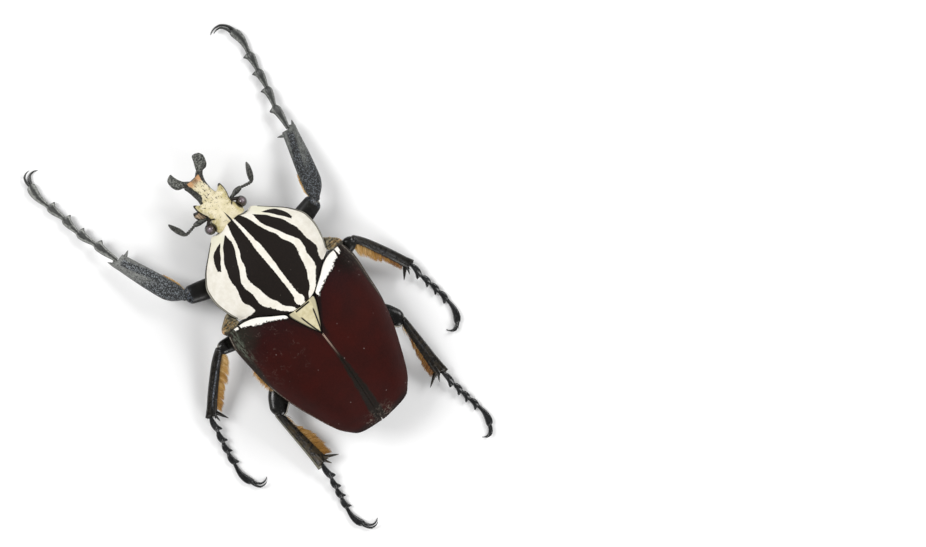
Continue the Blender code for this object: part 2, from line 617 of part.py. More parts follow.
def ring(centre, axis, across, up, sides, square=0.85):
    """An oval ring round an axis, with its long way level."""
    level = axis.cross(Vector((0, 0, 1))).normalized()
    rise = level.cross(axis).normalized()
    points = []
    for i in range(sides):
        angle = 2 * math.pi * i / sides
        c = math.copysign(abs(math.cos(angle)) ** square, math.cos(angle))
        s = math.copysign(abs(math.sin(angle)) ** square, math.sin(angle))
        points.append(centre + level * across * c + rise * up * s)
    return points


def tube(name, stations, sides, sign=1.0):
    """A tube through stations given as on the left side, mirrored for sign -1."""
    placed = [((sign * x, y, z), across, up) for (x, y, z), across, up in stations]
    return skin_rings(name, arc_rings(placed, sides))


def make_horn():
    """The forked horn: a flat stem from the brow, and two broad arms that curve up and inward."""
    horn = tube("horn", HORN_STEM, 12)
    combine(horn, [tube("arm", HORN_ARM, 10, sign) for sign in SIDES.values()], "UNION")
    return dress(turn_head(horn), GREY_BLACK, 0.45)


def make_antenna(side):
    """A bent antenna: a stout first joint, a thin beaded stretch and a flat club."""
    sign = SIDES[side]
    antenna = tube("antenna_" + side, ANTENNA_STEM, 8, sign)
    combine(antenna, [tube("club", ANTENNA_CLUB, 8, sign)], "UNION")
    root = Vector((sign * ANTENNA_ROOT.x, ANTENNA_ROOT.y, 0.0))
    sweep = Matrix.Rotation(-sign * ANTENNA_SWEEP[side], 3, "Z")
    for vert in antenna.data.vertices:
        vert.co = root + sweep @ (vert.co - root)
    return dress(turn_head(antenna), GREY_BLACK, 0.4)


def make_mouthparts():
    """The lower lip plate with a feeler curving out on each side."""
    plate = tube("mouthparts", MOUTH_PLATE, 10)
    combine(plate, [tube("feeler", MOUTH_FEELER, 7, sign) for sign in SIDES.values()], "UNION")
    return dress(turn_head(plate), BLACK, 0.35)


# ---- legs -------------------------------------------------------------------------------------
def heading(degrees, rise, sign):
    """Unit vector with a heading in the level plane and a rise above it, mirrored for sign -1."""
    turn = math.radians(degrees)
    lift = math.radians(rise)
    return Vector((sign * math.cos(turn) * math.cos(lift), math.sin(turn) * math.cos(lift), math.sin(lift)))


def plane_cut(points, axis, spot, normal):
    """Slide the points of an end ring along the limb's axis on to a plane."""
    return [point + axis * ((spot - point).dot(normal) / axis.dot(normal)) for point in points]


class Leg:
    """One leg's joints and directions, worked out from its sizes and pose."""

    def __init__(self, pair, side, grow=0.0):
        size = PAIRS[pair]
        pose = POSE[(pair, side)]
        self.pair = pair
        self.side = side
        self.sign = SIDES[side]
        self.size = size
        self.pose = pose
        self.grow = grow
        x, y, z = size["coxa"]
        self.hip = Vector((self.sign * x, y, z)) * MM
        self.coxa_radii = Vector(size["coxa_radii"]) * MM
        self.femur_axis = heading(*pose["femur"], self.sign)
        self.knee = self.hip + self.femur_axis * size["femur"] * MM
        self.tibia_axis = heading(*pose["tibia"], self.sign)
        self.ankle = self.knee + self.tibia_axis * size["tibia"] * MM
        self.bend = (self.femur_axis + self.tibia_axis).normalized()
        self.inner = Vector((0, 0, 1)).cross(self.tibia_axis).normalized() * self.sign
        if pair == "fore":
            self.inner.negate()

    def name(self, part):
        """The node's name for one part of this leg."""
        return "_".join((part, self.pair, self.side))

    def coxa(self):
        """The hip joint: an oval body sunk in the breast."""
        radii = self.coxa_radii + Vector((self.grow, self.grow, self.grow))
        return ball(self.name("coxa"), self.hip, radii)

    def femur(self):
        """The thigh, from the hip to half of the mitred knee."""
        axis = self.femur_axis
        start = math.sqrt(sum((radius * part) ** 2 for radius, part in zip(self.coxa_radii, axis))) + GAP
        girth = self.size["femur_girth"]
        across = curve([(share, a) for share, a, _ in girth])
        up = curve([(share, b) for share, _, b in girth])
        length = self.size["femur"] * MM
        outer = Vector((0, 0, 1)).cross(axis).normalized() * -self.sign
        rings = []
        for share in spread(0.0, 1.0, 6):
            centre = self.hip + axis * (start - self.grow + (length - start) * share)
            centre += outer * self.size["femur_bow"] * MM * math.sin(math.pi * share)
            width = across(share * MM) + self.grow
            height = up(share * MM) + self.grow
            rings.append(ring(centre, axis, width, height, 10))
        rings[-1] = plane_cut(rings[-1], axis, self.knee - self.bend * (GAP / 2 - self.grow), self.bend)
        return skin_rings(self.name("femur"), rings)

    def tibia(self):
        """The shin, from the mitred knee to its hollowed end with a point on each corner."""
        axis = self.tibia_axis
        girth = self.size["tibia_girth"]
        across = curve([(share, a) for share, a, _ in girth])
        up = curve([(share, b) for share, _, b in girth])
        length = self.size["tibia"] * MM
        rings = []
        for share in (0.0, 0.06, 0.16, 0.3, 0.5, 0.7, 0.9, 1.0):
            centre = self.knee + axis * length * share
            centre -= self.inner * self.size["tibia_bow"] * MM * math.sin(math.pi * share)
            rings.append(ring(centre, axis, across(share * MM), up(share * MM), 12))
        rings[0] = plane_cut(rings[0], axis, self.knee + self.bend * (GAP / 2), self.bend)
        hollow, slant = self.size["tibia_end"]
        half = across(MM)
        for i, point in enumerate(rings[-1]):
            reach = (point - self.ankle).dot(self.inner) / half
            rings[-1][i] = point + axis * (hollow * (reach ** 2 - 0.3) - slant * reach) * MM
        return skin_rings(self.name("tibia"), rings)

    def spurs(self):
        """The long movable spurs on the inner corner of a middle or hind shin."""
        pieces = []
        for k, reach in enumerate(self.size["spurs"]):
            root = self.ankle + self.inner * (1.3 - 0.75 * k) * MM - self.tibia_axis * 1.2 * MM
            root += Vector((0, 0, (0.25 - 0.5 * k) * MM))
            way = (self.tibia_axis + self.inner * (0.85 - 0.45 * k)).normalized()
            stations = []
            for share, girth in ((0.0, 0.5), (0.4, 0.48), (0.8, 0.36), (1.0, 0.12)):
                stations.append(ring(root + way * (reach + 1.2) * MM * share, way, girth * MM, girth * MM, 5))
            pieces.append(skin_rings("spur", stations))
        return pieces

    def fringe(self):
        """Flat golden locks, which lean towards the foot along the inner edge of the shin."""
        across = curve([(share, a) for share, a, _ in self.size["tibia_girth"]])
        depth = curve(self.size["fringe"])
        length = self.size["tibia"] * MM
        pieces = []
        for k, share in enumerate(spread(0.08, 0.90, FRINGE_LOCKS)):
            reach = depth(share * MM) + 0.35 * MM * math.sin(2.4 * k)
            root = self.knee + self.tibia_axis * length * share + self.inner * (across(share * MM) - 0.6 * MM)
            root.z += 0.12 * MM * (-1) ** k
            rings = []
            for part, width, thick in ((0.0, 0.75, 0.3), (0.55, 0.8, 0.3), (1.0, 0.15, 0.16)):
                lean = 0.35 + 0.75 * part
                way = (self.inner + self.tibia_axis * lean).normalized()
                centre = root + way * (reach + 0.6 * MM) * part
                rings.append(blade(centre, way, width * MM, thick * MM))
            pieces.append(skin_rings("lock", rings))
        return pieces

    def foot(self):
        """Five foot joints in a row, each with a tooth below its end, and a sole flat on the floor."""
        steps = self.size["foot"]
        heights = self.size["foot_height"]
        width = self.size["foot_width"] * MM
        place = self.ankle + self.tibia_axis * (GAP + 0.15 * MM) - self.inner * FOOT_STEP_OUT
        rings = []
        for k, reach in enumerate(steps):
            way = heading(self.pose["foot"][k], 0.0, self.sign)
            end = place + way * reach * MM
            end.z = heights[k + 1] * MM
            if k == 0:
                place.z = heights[0] * MM
            last = k == len(steps) - 1
            girths = ((0.03, 0.5), (0.35, 0.62), (0.75, 1.0), (0.97, 1.0))
            if last:
                girths = ((0.03, 0.45), (0.35, 0.6), (0.7, 0.85), (0.9, 0.8), (1.0, 0.62))
            axis = (end - place).normalized()
            side_way = axis.cross(Vector((0, 0, 1))).normalized()
            inner = side_way if side_way.x * self.sign < 0 else -side_way
            for share, girth in girths:
                centre = place.lerp(end, share)
                if last:
                    centre -= inner * self.size["foot_bow"] * MM * math.sin(math.pi * share)
                oval = ring(centre, axis, width * girth, width * 0.85 * girth, 8)
                if share == 0.97:
                    oval = [self.tooth(point, centre, inner, axis, width) for point in oval]
                rings.append([Vector((p.x, p.y, max(p.z, FLOOR))) for p in oval])
            place = end
        self.toe = place
        self.toe_axis = axis
        self.toe_inner = inner
        return skin_rings(self.name("tarsus"), rings)

    def tooth(self, point, centre, inner, axis, width):
        """Draw the inner corner of a foot joint's end out into a tooth."""
        share = max((point - centre).dot(inner) / width, 0.0) ** 3
        return point + (inner * 0.25 + axis * 0.3) * width * share

    def claws(self):
        """Two hooked claws that curl inward from the end of the foot, one above the other."""
        pieces = []
        for (turn, reach), tilt in zip(self.pose["claws"], (-0.12, 0.35)):
            spin = Matrix.Rotation(math.radians(turn), 3, self.toe_axis.cross(self.toe_inner))
            ahead = spin @ self.toe_axis
            curl = (spin @ self.toe_inner + Vector((0, 0, tilt))).normalized()
            radius = reach * 0.65 * MM
            root = self.toe + Vector((0, 0, math.copysign(0.3 * MM, tilt)))
            rings = []
            for t in spread(0.0, 1.0, 6):
                angle = CLAW_SWEEP * t
                centre = root + ahead * radius * math.sin(angle) + curl * radius * (1 - math.cos(angle))
                centre -= ahead * 0.9 * MM * (1 - min(2 * t, 1.0))
                way = ahead * math.cos(angle) + curl * math.sin(angle)
                girth = (self.size["claw_girth"] - 0.48 * t ** 2) * MM
                centre.z = max(centre.z, FLOOR + girth + 0.05 * MM)
                rings.append(ring(centre, way, girth, girth, 6))
            pieces.append(skin_rings("claw", rings))
        return pieces


def blade(centre, way, width, thick):
    """A flat four-cornered ring across a lock, wide along the shin and thin upward."""
    level = way.cross(Vector((0, 0, 1))).normalized()
    rise = level.cross(way).normalized()
    return [centre + level * width, centre + rise * thick, centre - level * width, centre - rise * thick]


def make_leg(pair, side):
    """Coxa, femur, tibia and tarsus of one leg."""
    leg = Leg(pair, side)
    dress(leg.coxa(), BLACK, 0.4)
    dress(leg.femur(), BLACK, 0.3)
    tibia = leg.tibia()
    if pair != "fore":
        combine(tibia, leg.spurs() + leg.fringe(), "UNION")
    dress(tibia, GREY_BLACK if pair == "fore" else BLACK, 0.4)
    tarsus = leg.foot()
    combine(tarsus, leg.claws(), "UNION")
    dress(tarsus, BLACK, 0.35)


def leg_room(pair):
    """The hips and thighs of a pair of legs, grown by the gap, as cutters for the body."""
    cutters = []
    for side in SIDES:
        leg = Leg(pair, side, grow=GAP)
        cutters.append(leg.coxa())
        cutters.append(leg.femur())
    return cutters


def main():
    """Clear the scene and build every piece."""
    for obj in list(bpy.data.objects):
        bpy.data.objects.remove(obj)
    make_pronotum()
    make_scutellum()
    make_prosternum()
    make_breast()
    make_abdomen()
    make_pygidium()
    make_head()
    make_horn()
    make_mouthparts()
    for side in SIDES:
        make_elytron(side)
        make_mesepimeron(side)
        make_eye(side)
        make_antenna(side)
        for pair in PAIRS:
            make_leg(pair, side)


main()
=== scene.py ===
"""Goliath beetle at rest on a pale floor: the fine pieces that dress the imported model."""
import math
import random

import bmesh
import bpy
from mathutils import Matrix, Vector


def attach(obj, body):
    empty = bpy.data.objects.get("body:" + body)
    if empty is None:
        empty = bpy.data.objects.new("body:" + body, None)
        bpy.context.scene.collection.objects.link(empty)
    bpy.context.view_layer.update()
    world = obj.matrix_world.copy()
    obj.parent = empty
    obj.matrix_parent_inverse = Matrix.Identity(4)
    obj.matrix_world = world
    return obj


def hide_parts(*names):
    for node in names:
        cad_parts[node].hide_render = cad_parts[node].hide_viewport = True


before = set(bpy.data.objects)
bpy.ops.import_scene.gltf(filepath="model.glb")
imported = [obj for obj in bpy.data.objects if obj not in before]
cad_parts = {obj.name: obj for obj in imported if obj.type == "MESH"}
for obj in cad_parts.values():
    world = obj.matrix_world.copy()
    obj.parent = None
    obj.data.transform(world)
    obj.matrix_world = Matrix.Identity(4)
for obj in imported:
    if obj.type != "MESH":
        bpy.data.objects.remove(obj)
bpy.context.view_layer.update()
bpy.ops.object.select_all(action="DESELECT")

# ---- Studio ------------------------------------------------------------------------------------
# A plain pale floor under a white surround, with three soft boxes: at the front left, at the right and
# behind the tail. The camera hangs almost straight above the beetle.
bpy.ops.mesh.primitive_plane_add(size=4.0)
floor = bpy.context.object
floor.name = "studio_floor"
floor_paint = bpy.data.materials.new("studio_floor")
floor_paint.use_nodes = True
matt = floor_paint.node_tree.nodes["Principled BSDF"].inputs
matt["Base Color"].default_value = (0.93, 0.93, 0.93, 1.0)
matt["Roughness"].default_value = 0.9
matt["Specular IOR Level"].default_value = 0.1
floor.data.materials.append(floor_paint)

SOFT_BOX_WIDTH = 0.5
SOFT_BOXES = [("left_side", (0.50, -0.70, 0.75), 9.2), ("right_side", (-0.85, -0.10, 0.70), 6.4),
              ("tail_side", (0.15, 0.90, 0.60), 5.0)]
for name, spot, watts in SOFT_BOXES:
    bpy.ops.object.light_add(type="AREA", location=spot)
    lamp = bpy.context.object
    lamp.name = "soft_box_" + name
    lamp.data.size = SOFT_BOX_WIDTH
    lamp.data.energy = watts
    lamp.rotation_euler = Vector(spot).to_track_quat("Z", "Y").to_euler()

surround = bpy.data.worlds.new("surround")
surround.use_nodes = True
glow = surround.node_tree.nodes["Background"].inputs
glow["Color"].default_value = (1.0, 1.0, 1.0, 1.0)
glow["Strength"].default_value = 0.28
bpy.context.scene.world = surround
bpy.context.scene.view_settings.view_transform = "Standard"

CAMERA_SPOT = (0.070016, -0.103322, 0.714557)
CAMERA_TURN = (-2.0645, -13.3361, 141.9292)
bpy.ops.object.camera_add(location=CAMERA_SPOT, rotation=[math.radians(angle) for angle in CAMERA_TURN])
camera = bpy.context.object
camera.name = "camera"
camera.data.lens = 94.0
camera.data.sensor_width = 36.0
camera.data.clip_start = 0.01
bpy.context.scene.camera = camera
bpy.ops.object.select_all(action="DESELECT")

# ---- Underside ---------------------------------------------------------------------------------
# The belly armour: breast, front breast, the abdomen's overlapping plates and the tail plate. Black
# chitin with a faint green cast, finely pitted, all hidden from above by the shields.
MM = 0.001
BODY_INSET = 1.6 * MM
KEEL_HALF_WIDTH = 3.6 * MM
# The body's half widths, edges and heights, as (place, value) in millimetres. The place is the distance
# from the midline for the shield's front and base, and the place along the body for the others.
PRONOTUM_HALF_WIDTH = [(-35.6, 7.4), (-31.8, 11.9), (-28.1, 15.9), (-23.7, 18.6),
                       (-20.5, 18.9), (-15.4, 17.9), (-12.0, 16.5)]
ELYTRA_HALF_WIDTH = [(-10.2, 21.7), (-5.0, 22.5), (4.3, 21.9), (8.5, 21.5), (17.7, 19.3),
                     (25.0, 16.6), (32.7, 13.1), (36.5, 10.0), (38.4, 8.8)]
PRONOTUM_FRONT = [(0.0, -36.1), (2.0, -35.9), (4.0, -35.1), (5.4, -34.9), (7.4, -35.6)]
PRONOTUM_BASE = [(0.0, -5.1), (2.5, -5.1), (5.0, -5.8), (9.0, -8.35), (13.0, -10.75), (16.5, -12.0)]
PRONOTUM_RIM = [(-36.1, 13.4), (-30.0, 13.8), (-20.0, 15.2), (-12.0, 16.8), (-5.0, 16.8)]
ELYTRA_RIDGE = [(-5.6, 24.9), (0.0, 25.3), (8.0, 25.7), (16.0, 25.4), (24.6, 23.6),
                (31.0, 20.6), (35.5, 17.6), (38.4, 15.0)]
ELYTRA_RIM = [(-11.0, 15.2), (-5.0, 13.8), (5.0, 12.9), (20.0, 12.7), (33.0, 13.2), (38.4, 14.0)]
BELLY_KEEL = [(-36.1, 9.0), (-30.0, 6.6), (-20.0, 5.0), (-12.0, 3.4), (-8.5, 1.2), (-6.0, 0.0),
              (6.0, 0.0), (13.5, 1.3), (24.0, 3.6), (31.0, 6.0), (38.4, 11.0)]


def profile(stations):
    """A smooth function of one variable through (place, value) pairs given in millimetres."""
    xs = [place * MM for place, _ in stations]
    ys = [value * MM for _, value in stations]
    last = len(xs) - 1
    rises = [(ys[k + 1] - ys[k]) / (xs[k + 1] - xs[k]) for k in range(last)]
    slopes = []
    for k in range(last + 1):
        before = rises[max(k - 1, 0)]
        after = rises[min(k, last - 1)]
        slopes.append(2 * before * after / (before + after) if before * after > 0 else 0.0)

    def value_at(x):
        if x <= xs[0]:
            return ys[0]
        if x >= xs[last]:
            return ys[last]
        k = max(i for i in range(last) if xs[i] <= x)
        step = xs[k + 1] - xs[k]
        t = (x - xs[k]) / step
        level = ys[k] * (1 - t) ** 2 * (1 + 2 * t) + ys[k + 1] * t * t * (3 - 2 * t)
        return level + step * (slopes[k] * t * (1 - t) ** 2 - slopes[k + 1] * t * t * (1 - t))

    return value_at


def ramp(x, start, end):
    """0 before start, 1 after end and a soft step between them."""
    t = min(max((x - start) / (end - start), 0.0), 1.0)
    return t * t * (3 - 2 * t)


def hump(x, centre, reach):
    """A soft swelling, 1 at its centre and fading out over its reach."""
    return math.exp(-((x - centre) / reach) ** 2)


def spread(start, end, count):
    """Evenly spaced values from start to end, both included."""
    return [start + (end - start) * k / (count - 1) for k in range(count)]


pronotum_width = profile(PRONOTUM_HALF_WIDTH)
pronotum_front = profile(PRONOTUM_FRONT)
pronotum_base = profile(PRONOTUM_BASE)
pronotum_rim = profile(PRONOTUM_RIM)
elytra_width = profile(ELYTRA_HALF_WIDTH)
elytra_ridge = profile(ELYTRA_RIDGE)
elytra_rim = profile(ELYTRA_RIM)
belly_keel = profile(BELLY_KEEL)


def elytra_dome(x, y, inset):
    """The wing covers' upper surface, or the surface that lies inset inside it."""
    rim = elytra_rim(y)
    t = min(abs(x) / (elytra_width(y) - inset), 1.0)
    drop = 3.0 * MM * ramp(abs(x), 9.0 * MM, 17.0 * MM) * ramp(-y, 5.0 * MM, 11.0 * MM)
    return rim + (elytra_ridge(y) - inset - rim - drop) * (1 - t ** 2.8) ** 0.62


def below_covers(x, y):
    """The upper side of the body under the wing covers."""
    return elytra_dome(x, y, 1.65 * MM)


def belly(x, y):
    """Underside of the body: a flat keel, with sides that rise to the rim."""
    side = min(pronotum_width(y), elytra_width(y)) - 1.2 * MM
    rim = (pronotum_rim(y) - 2.2 * MM) if y < -8.6 * MM else (elytra_rim(y) - 0.8 * MM)
    t = max(abs(x) - KEEL_HALF_WIDTH, 0.0) / (side - KEEL_HALF_WIDTH)
    return belly_keel(y) + (rim - belly_keel(y)) * min(t, 1.0) ** 1.3


def both_sides(half):
    """A closed outline from its left half, which runs from one midline point to the other."""
    return half + [(-x, y) for x, y in reversed(half) if x > 0]


def laid_out(points, side=1.0):
    """Points drawn in millimetres on the left, and mirrored for side -1."""
    return [(side * x * MM, y * MM) for x, y in points]


def evenly(outline, count):
    """The closed outline again as evenly spaced points, with its corners a little rounded."""
    points = [Vector(point) for point in outline]
    lengths = [0.0]
    for here, there in zip(points, points[1:] + points[:1]):
        lengths.append(lengths[-1] + max((there - here).length, 1e-9))
    even = []
    leg = 0
    for k in range(count):
        spot = lengths[-1] * k / count
        while lengths[leg + 1] < spot:
            leg += 1
        share = (spot - lengths[leg]) / (lengths[leg + 1] - lengths[leg])
        even.append(points[leg].lerp(points[(leg + 1) % len(points)], share))
    for _ in range(2):
        even = [(even[k - 1] + even[k] * 2 + even[(k + 1) % count]) / 4 for k in range(count)]
    return even


def pick(piece, kind, wanted):
    """In edit mode, select only the vertices, edges or faces that are wanted."""
    bpy.ops.mesh.select_mode(type=kind)
    bpy.ops.mesh.select_all(action="DESELECT")
    mesh = bmesh.from_edit_mesh(piece.data)
    mesh.verts.index_update()
    for item in {"VERT": mesh.verts, "EDGE": mesh.edges, "FACE": mesh.faces}[kind]:
        item.select_set(wanted(item))
    mesh.select_flush_mode()
    bmesh.update_edit_mesh(piece.data)


def choose(*pieces):
    """Select only these pieces and make the first one active."""
    bpy.ops.object.select_all(action="DESELECT")
    for piece in pieces:
        piece.select_set(True)
    bpy.context.view_layer.objects.active = pieces[0]


def smooth_skin(piece, sharp=55.0):
    """Turn the piece's faces outward and shade its round stretches smooth."""
    choose(piece)
    bpy.ops.object.mode_set(mode="EDIT")
    bpy.ops.mesh.select_all(action="SELECT")
    bpy.ops.mesh.normals_make_consistent(inside=False)
    bpy.ops.object.mode_set(mode="OBJECT")
    bpy.ops.object.shade_smooth_by_angle(angle=math.radians(sharp))
    return piece


def plate(name, outline, middle, top, bottom, count, upper, lower, inner=None, marks=()):
    """A domed plate. A ring laid on its outline is extruded inward ring by ring over its back and again
    under it, each point is pressed to the plate's height there, and both small holes are closed."""
    rim = evenly(outline, count)
    hub = Vector(middle)
    bpy.ops.object.select_all(action="DESELECT")
    bpy.ops.mesh.primitive_circle_add(vertices=count, radius=0.01)
    piece = bpy.context.object
    piece.name = name
    piece.data.name = name
    bpy.ops.object.mode_set(mode="EDIT")
    bpy.ops.mesh.select_all(action="SELECT")
    for _ in range(upper - 1):
        bpy.ops.mesh.extrude_edges_move()
    pick(piece, "EDGE", lambda edge: max(vert.index for vert in edge.verts) < count)
    for _ in range(lower):
        bpy.ops.mesh.extrude_edges_move()
    bpy.ops.object.mode_set(mode="OBJECT")
    verts = piece.data.vertices
    for k in range(upper):
        share = math.sin(math.pi / 2 * (upper - k) / upper)
        for i, point in enumerate(rim):
            x, y = hub + (point - hub) * share
            verts[k * count + i].co = (x, y, top(x, y))
    edge = [Vector(inner(*point)) for point in rim] if inner else rim
    for k in range(lower):
        for i, point in enumerate(edge):
            x, y = hub + (point - hub) * (lower - k) / lower
            verts[(upper + k) * count + i].co = (x, y, bottom(x, y))
    bpy.ops.object.mode_set(mode="EDIT")
    for ring in (upper - 1, upper + lower - 1):
        pick(piece, "EDGE", lambda edge: {vert.index // count for vert in edge.verts} == {ring})
        bpy.ops.mesh.edge_face_add()
        bpy.ops.mesh.poke()
    bpy.ops.object.mode_set(mode="OBJECT")
    for mark, measure in marks:
        layer = piece.data.attributes.new(mark, "FLOAT", "POINT")
        for vert in verts:
            layer.data[vert.index].value = measure(vert.co.x, vert.co.y)
    return smooth_skin(piece)


def tone(code):
    """A colour from its six-figure code, as the shader takes it."""
    parts = [int(code[k:k + 2], 16) / 255 for k in (0, 2, 4)]
    return (*[part / 12.92 if part <= 0.04045 else ((part + 0.055) / 1.055) ** 2.4 for part in parts], 1.0)


class Value:
    """What a node gives out. The signs of arithmetic on it make the nodes that do the sum."""

    def __init__(self, finish, socket):
        self.finish = finish
        self.socket = socket

    def worked(self, operation, other):
        """The sum of two values, or of two places where the other is a triple."""
        kind = "VectorMath" if isinstance(other, tuple) else "Math"
        return self.finish.node(kind, {0: self, 1: other}, operation=operation)

    def __add__(self, other):
        return self.worked("ADD", other)

    def __sub__(self, other):
        return self.worked("SUBTRACT", other)

    def __mul__(self, other):
        return self.worked("MULTIPLY", other)

    def __abs__(self):
        return self.finish.node("Math", {0: self}, operation="ABSOLUTE")

    def step(self, low, high, start=0.0, end=1.0):
        """A soft step from start to end while the value passes from low to high."""
        feeds = {0: self, 1: low, 2: high, 3: start, 4: end}
        return self.finish.node("MapRange", feeds, interpolation_type="SMOOTHSTEP")

    def away_from(self, spot):
        """The distance of a place from a spot."""
        return self.finish.node("VectorMath", {0: self, 1: spot}, out="Value", operation="DISTANCE")


def most(first, *others):
    """The greatest of several values."""
    for other in others:
        first = first.worked("MAXIMUM", other)
    return first


class Finish:
    """A material mixed from nodes. Its places are millimetres on the beetle."""

    def __init__(self, name, **sockets):
        self.material = bpy.data.materials.new(name)
        self.material.use_nodes = True
        self.tree = self.material.node_tree
        self.shader = self.tree.nodes["Principled BSDF"]
        for socket, value in sockets.items():
            title = socket.replace("_", " ").title().replace("Ior", "IOR")
            self.feed(self.shader.inputs[title], value)

    def node(self, kind, feeds, out=0, **settings):
        """A node with some of its sockets fed, by place or name, and one of its outputs."""
        made = self.tree.nodes.new("ShaderNode" + kind)
        for setting, value in settings.items():
            setattr(made, setting, value)
        for socket, value in feeds.items():
            self.feed(made.inputs[socket], value)
        return Value(self, made.outputs[out])

    def feed(self, socket, value):
        """Give a socket a plain value, a colour's code or what another node gives out."""
        if isinstance(value, Value):
            self.tree.links.new(value.socket, socket)
        else:
            socket.default_value = tone(value) if isinstance(value, str) else value

    def place(self):
        """The place on the beetle in millimetres."""
        spot = self.node("TexCoord", {}, out="Object")
        return self.node("VectorMath", {0: spot, "Scale": 1000.0}, operation="SCALE")

    def parts(self, place):
        """The three parts of a place."""
        split = self.node("SeparateXYZ", {0: place}).socket.node
        return [Value(self, part) for part in split.outputs]

    def mark(self, name):
        """A measure that the piece carries at each of its points."""
        return self.node("Attribute", {}, out="Fac", attribute_name=name)

    def mix(self, share, first, second):
        """A blend of two colours."""
        return self.node("Mix", {0: share, 6: first, 7: second}, out=2, data_type="RGBA")

    def cloud(self, place, size, detail=3.0, roughness=0.5):
        """Soft mottling, about 0.5 on the average, with patches of the given size."""
        feeds = {"Vector": place, "Scale": 1.0 / size, "Detail": detail, "Roughness": roughness}
        return self.node("TexNoise", feeds)

    def grains(self, place, size, out="Distance"):
        """Cells of the given size: the distance from a cell's heart, or its own random colour."""
        return self.node("TexVoronoi", {"Vector": place, "Scale": 1.0 / size}, out=out, feature="F1")

    def along(self, value, stations):
        """The value's place on a drawn curve through (place, height) pairs, in millimetres."""
        low = min(place for place, _ in stations)
        high = max(place for place, _ in stations)
        top = max(height for _, height in stations)
        share = self.node("MapRange", {0: value, 1: low, 2: high})
        drawn = self.node("FloatCurve", {"Value": share})
        mapping = drawn.socket.node.mapping
        curve = mapping.curves[0]
        spots = [((place - low) / (high - low), height / top) for place, height in sorted(stations)]
        curve.points[0].location = spots[0]
        curve.points[1].location = spots[-1]
        for spot in spots[1:-1]:
            curve.points.new(*spot)
        for point in curve.points:
            point.handle_type = "AUTO_CLAMPED"
        mapping.update()
        return drawn * top

    def colour(self, value):
        """The surface's colour."""
        self.feed(self.shader.inputs["Base Color"], value)

    def gloss(self, value):
        """The surface's roughness."""
        self.feed(self.shader.inputs["Roughness"], value)

    def relief(self, height, depth, strength=1.0):
        """Fine relief, its depth in millimetres, on top of any that is there."""
        last = self.shader.inputs["Normal"]
        feeds = {"Height": height, "Distance": depth * MM, "Strength": strength}
        if last.is_linked:
            feeds["Normal"] = Value(self, last.links[0].from_socket)
        self.feed(last, self.node("Bump", feeds))


def dress(piece, finish, slot, *nodes):
    """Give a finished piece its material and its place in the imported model."""
    piece.data.materials.clear()
    piece.data.materials.append(finish.material)
    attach(piece, "root")
    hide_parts(*nodes)


belly_black = Finish("belly_black", specular_ior_level=0.4)
spot = belly_black.place()
pits = belly_black.grains(spot, 0.55)
patches = belly_black.cloud(spot, 3.0)
belly_black.colour(belly_black.mix(patches.step(0.35, 0.65), "12150f", "221d17"))
belly_black.gloss(patches.step(0.3, 0.7, 0.28, 0.5))
belly_black.relief(pits.step(0.08, 0.3), 0.06, 0.7)

front = [(x, pronotum_front(x)) for x in spread(0.0, 6.5 * MM, 12)]
side = [(pronotum_width(y) - 0.9 * MM, y) for y in spread(-34.6 * MM, -13.0 * MM, 30)]
base = [(x, pronotum_base(x)) for x in spread(15.6 * MM, 0.0, 20)]


def front_breast_under(x, y):
    """The throat's underside, with a ridge along each side of its middle."""
    return min(belly(x, y), pronotum_rim(y) - 2.0 * MM) + 0.3 * MM * hump(abs(x), 9.0 * MM, 1.0 * MM)


front_breast = plate("front_breast", both_sides(front + side + base), (0.0, -21.0 * MM),
                     lambda x, y: pronotum_rim(y) - 1.3 * MM, front_breast_under, count=150, upper=4,
                     lower=26)
dress(front_breast, belly_black, "black_shell", "prosternum")

BREAST_END = 13.5 * MM
front = [(x, pronotum_base(x) + 0.4 * MM) for x in spread(0.0, 16.5 * MM, 20)]
side = [(elytra_width(y) - BODY_INSET, y) for y in spread(-8.6 * MM, BREAST_END, 24)]
outline = front + [(19.0 * MM, -10.4 * MM)] + side + [(6.0 * MM, BREAST_END), (0.0, BREAST_END)]


def breast_under(x, y):
    """The breast's underside, with a furrow along its middle and one across each hind hip."""
    along = 0.35 * MM * hump(abs(x), 0.0, 0.25 * MM) * ramp(y, 6.2 * MM, 8.0 * MM)
    across = 0.3 * MM * hump(y, 9.5 * MM, 0.35 * MM) * ramp(abs(x), 4.0 * MM, 6.0 * MM)
    return belly(x, y) + along + across


breast = plate("breast_plate", both_sides(outline), (0.0, 0.0), below_covers, breast_under, count=150,
               upper=14, lower=34)
dress(breast, belly_black, "black_shell", "breast")

ABDOMEN_START = 13.8 * MM
ABDOMEN_END = 31.5 * MM
PLATE_LENGTH = 17.7 * MM / 5


def abdomen_under(x, y):
    """The belly plates, each one's hind edge standing proud of the next."""
    return belly(x, y) + 0.35 * MM * (((y - ABDOMEN_START) / PLATE_LENGTH) % 1.0) ** 2


side = [(elytra_width(y) - BODY_INSET, y) for y in spread(ABDOMEN_START, ABDOMEN_END, 60)]
outline = [(0.0, ABDOMEN_START), (8.0 * MM, ABDOMEN_START)] + side + [(0.0, ABDOMEN_END)]
abdomen = plate("belly_plates", both_sides(outline), (0.0, 22.6 * MM), below_covers, abdomen_under,
                count=170, upper=14, lower=50)
dress(abdomen, belly_black, "black_shell", "abdomen")

TAIL_START = 31.8 * MM
front = [(0.0, TAIL_START), (elytra_width(TAIL_START) - BODY_INSET, TAIL_START)]
rear = laid_out([(10.0, 34.2), (7.6, 35.6), (4.2, 36.3), (0.0, 36.6)])
tail_plate = plate("tail_plate", both_sides(front + rear), (0.0, 33.6 * MM), below_covers, belly,
                   count=110, upper=12, lower=16)
dress(tail_plate, belly_black, "black_shell", "pygidium")

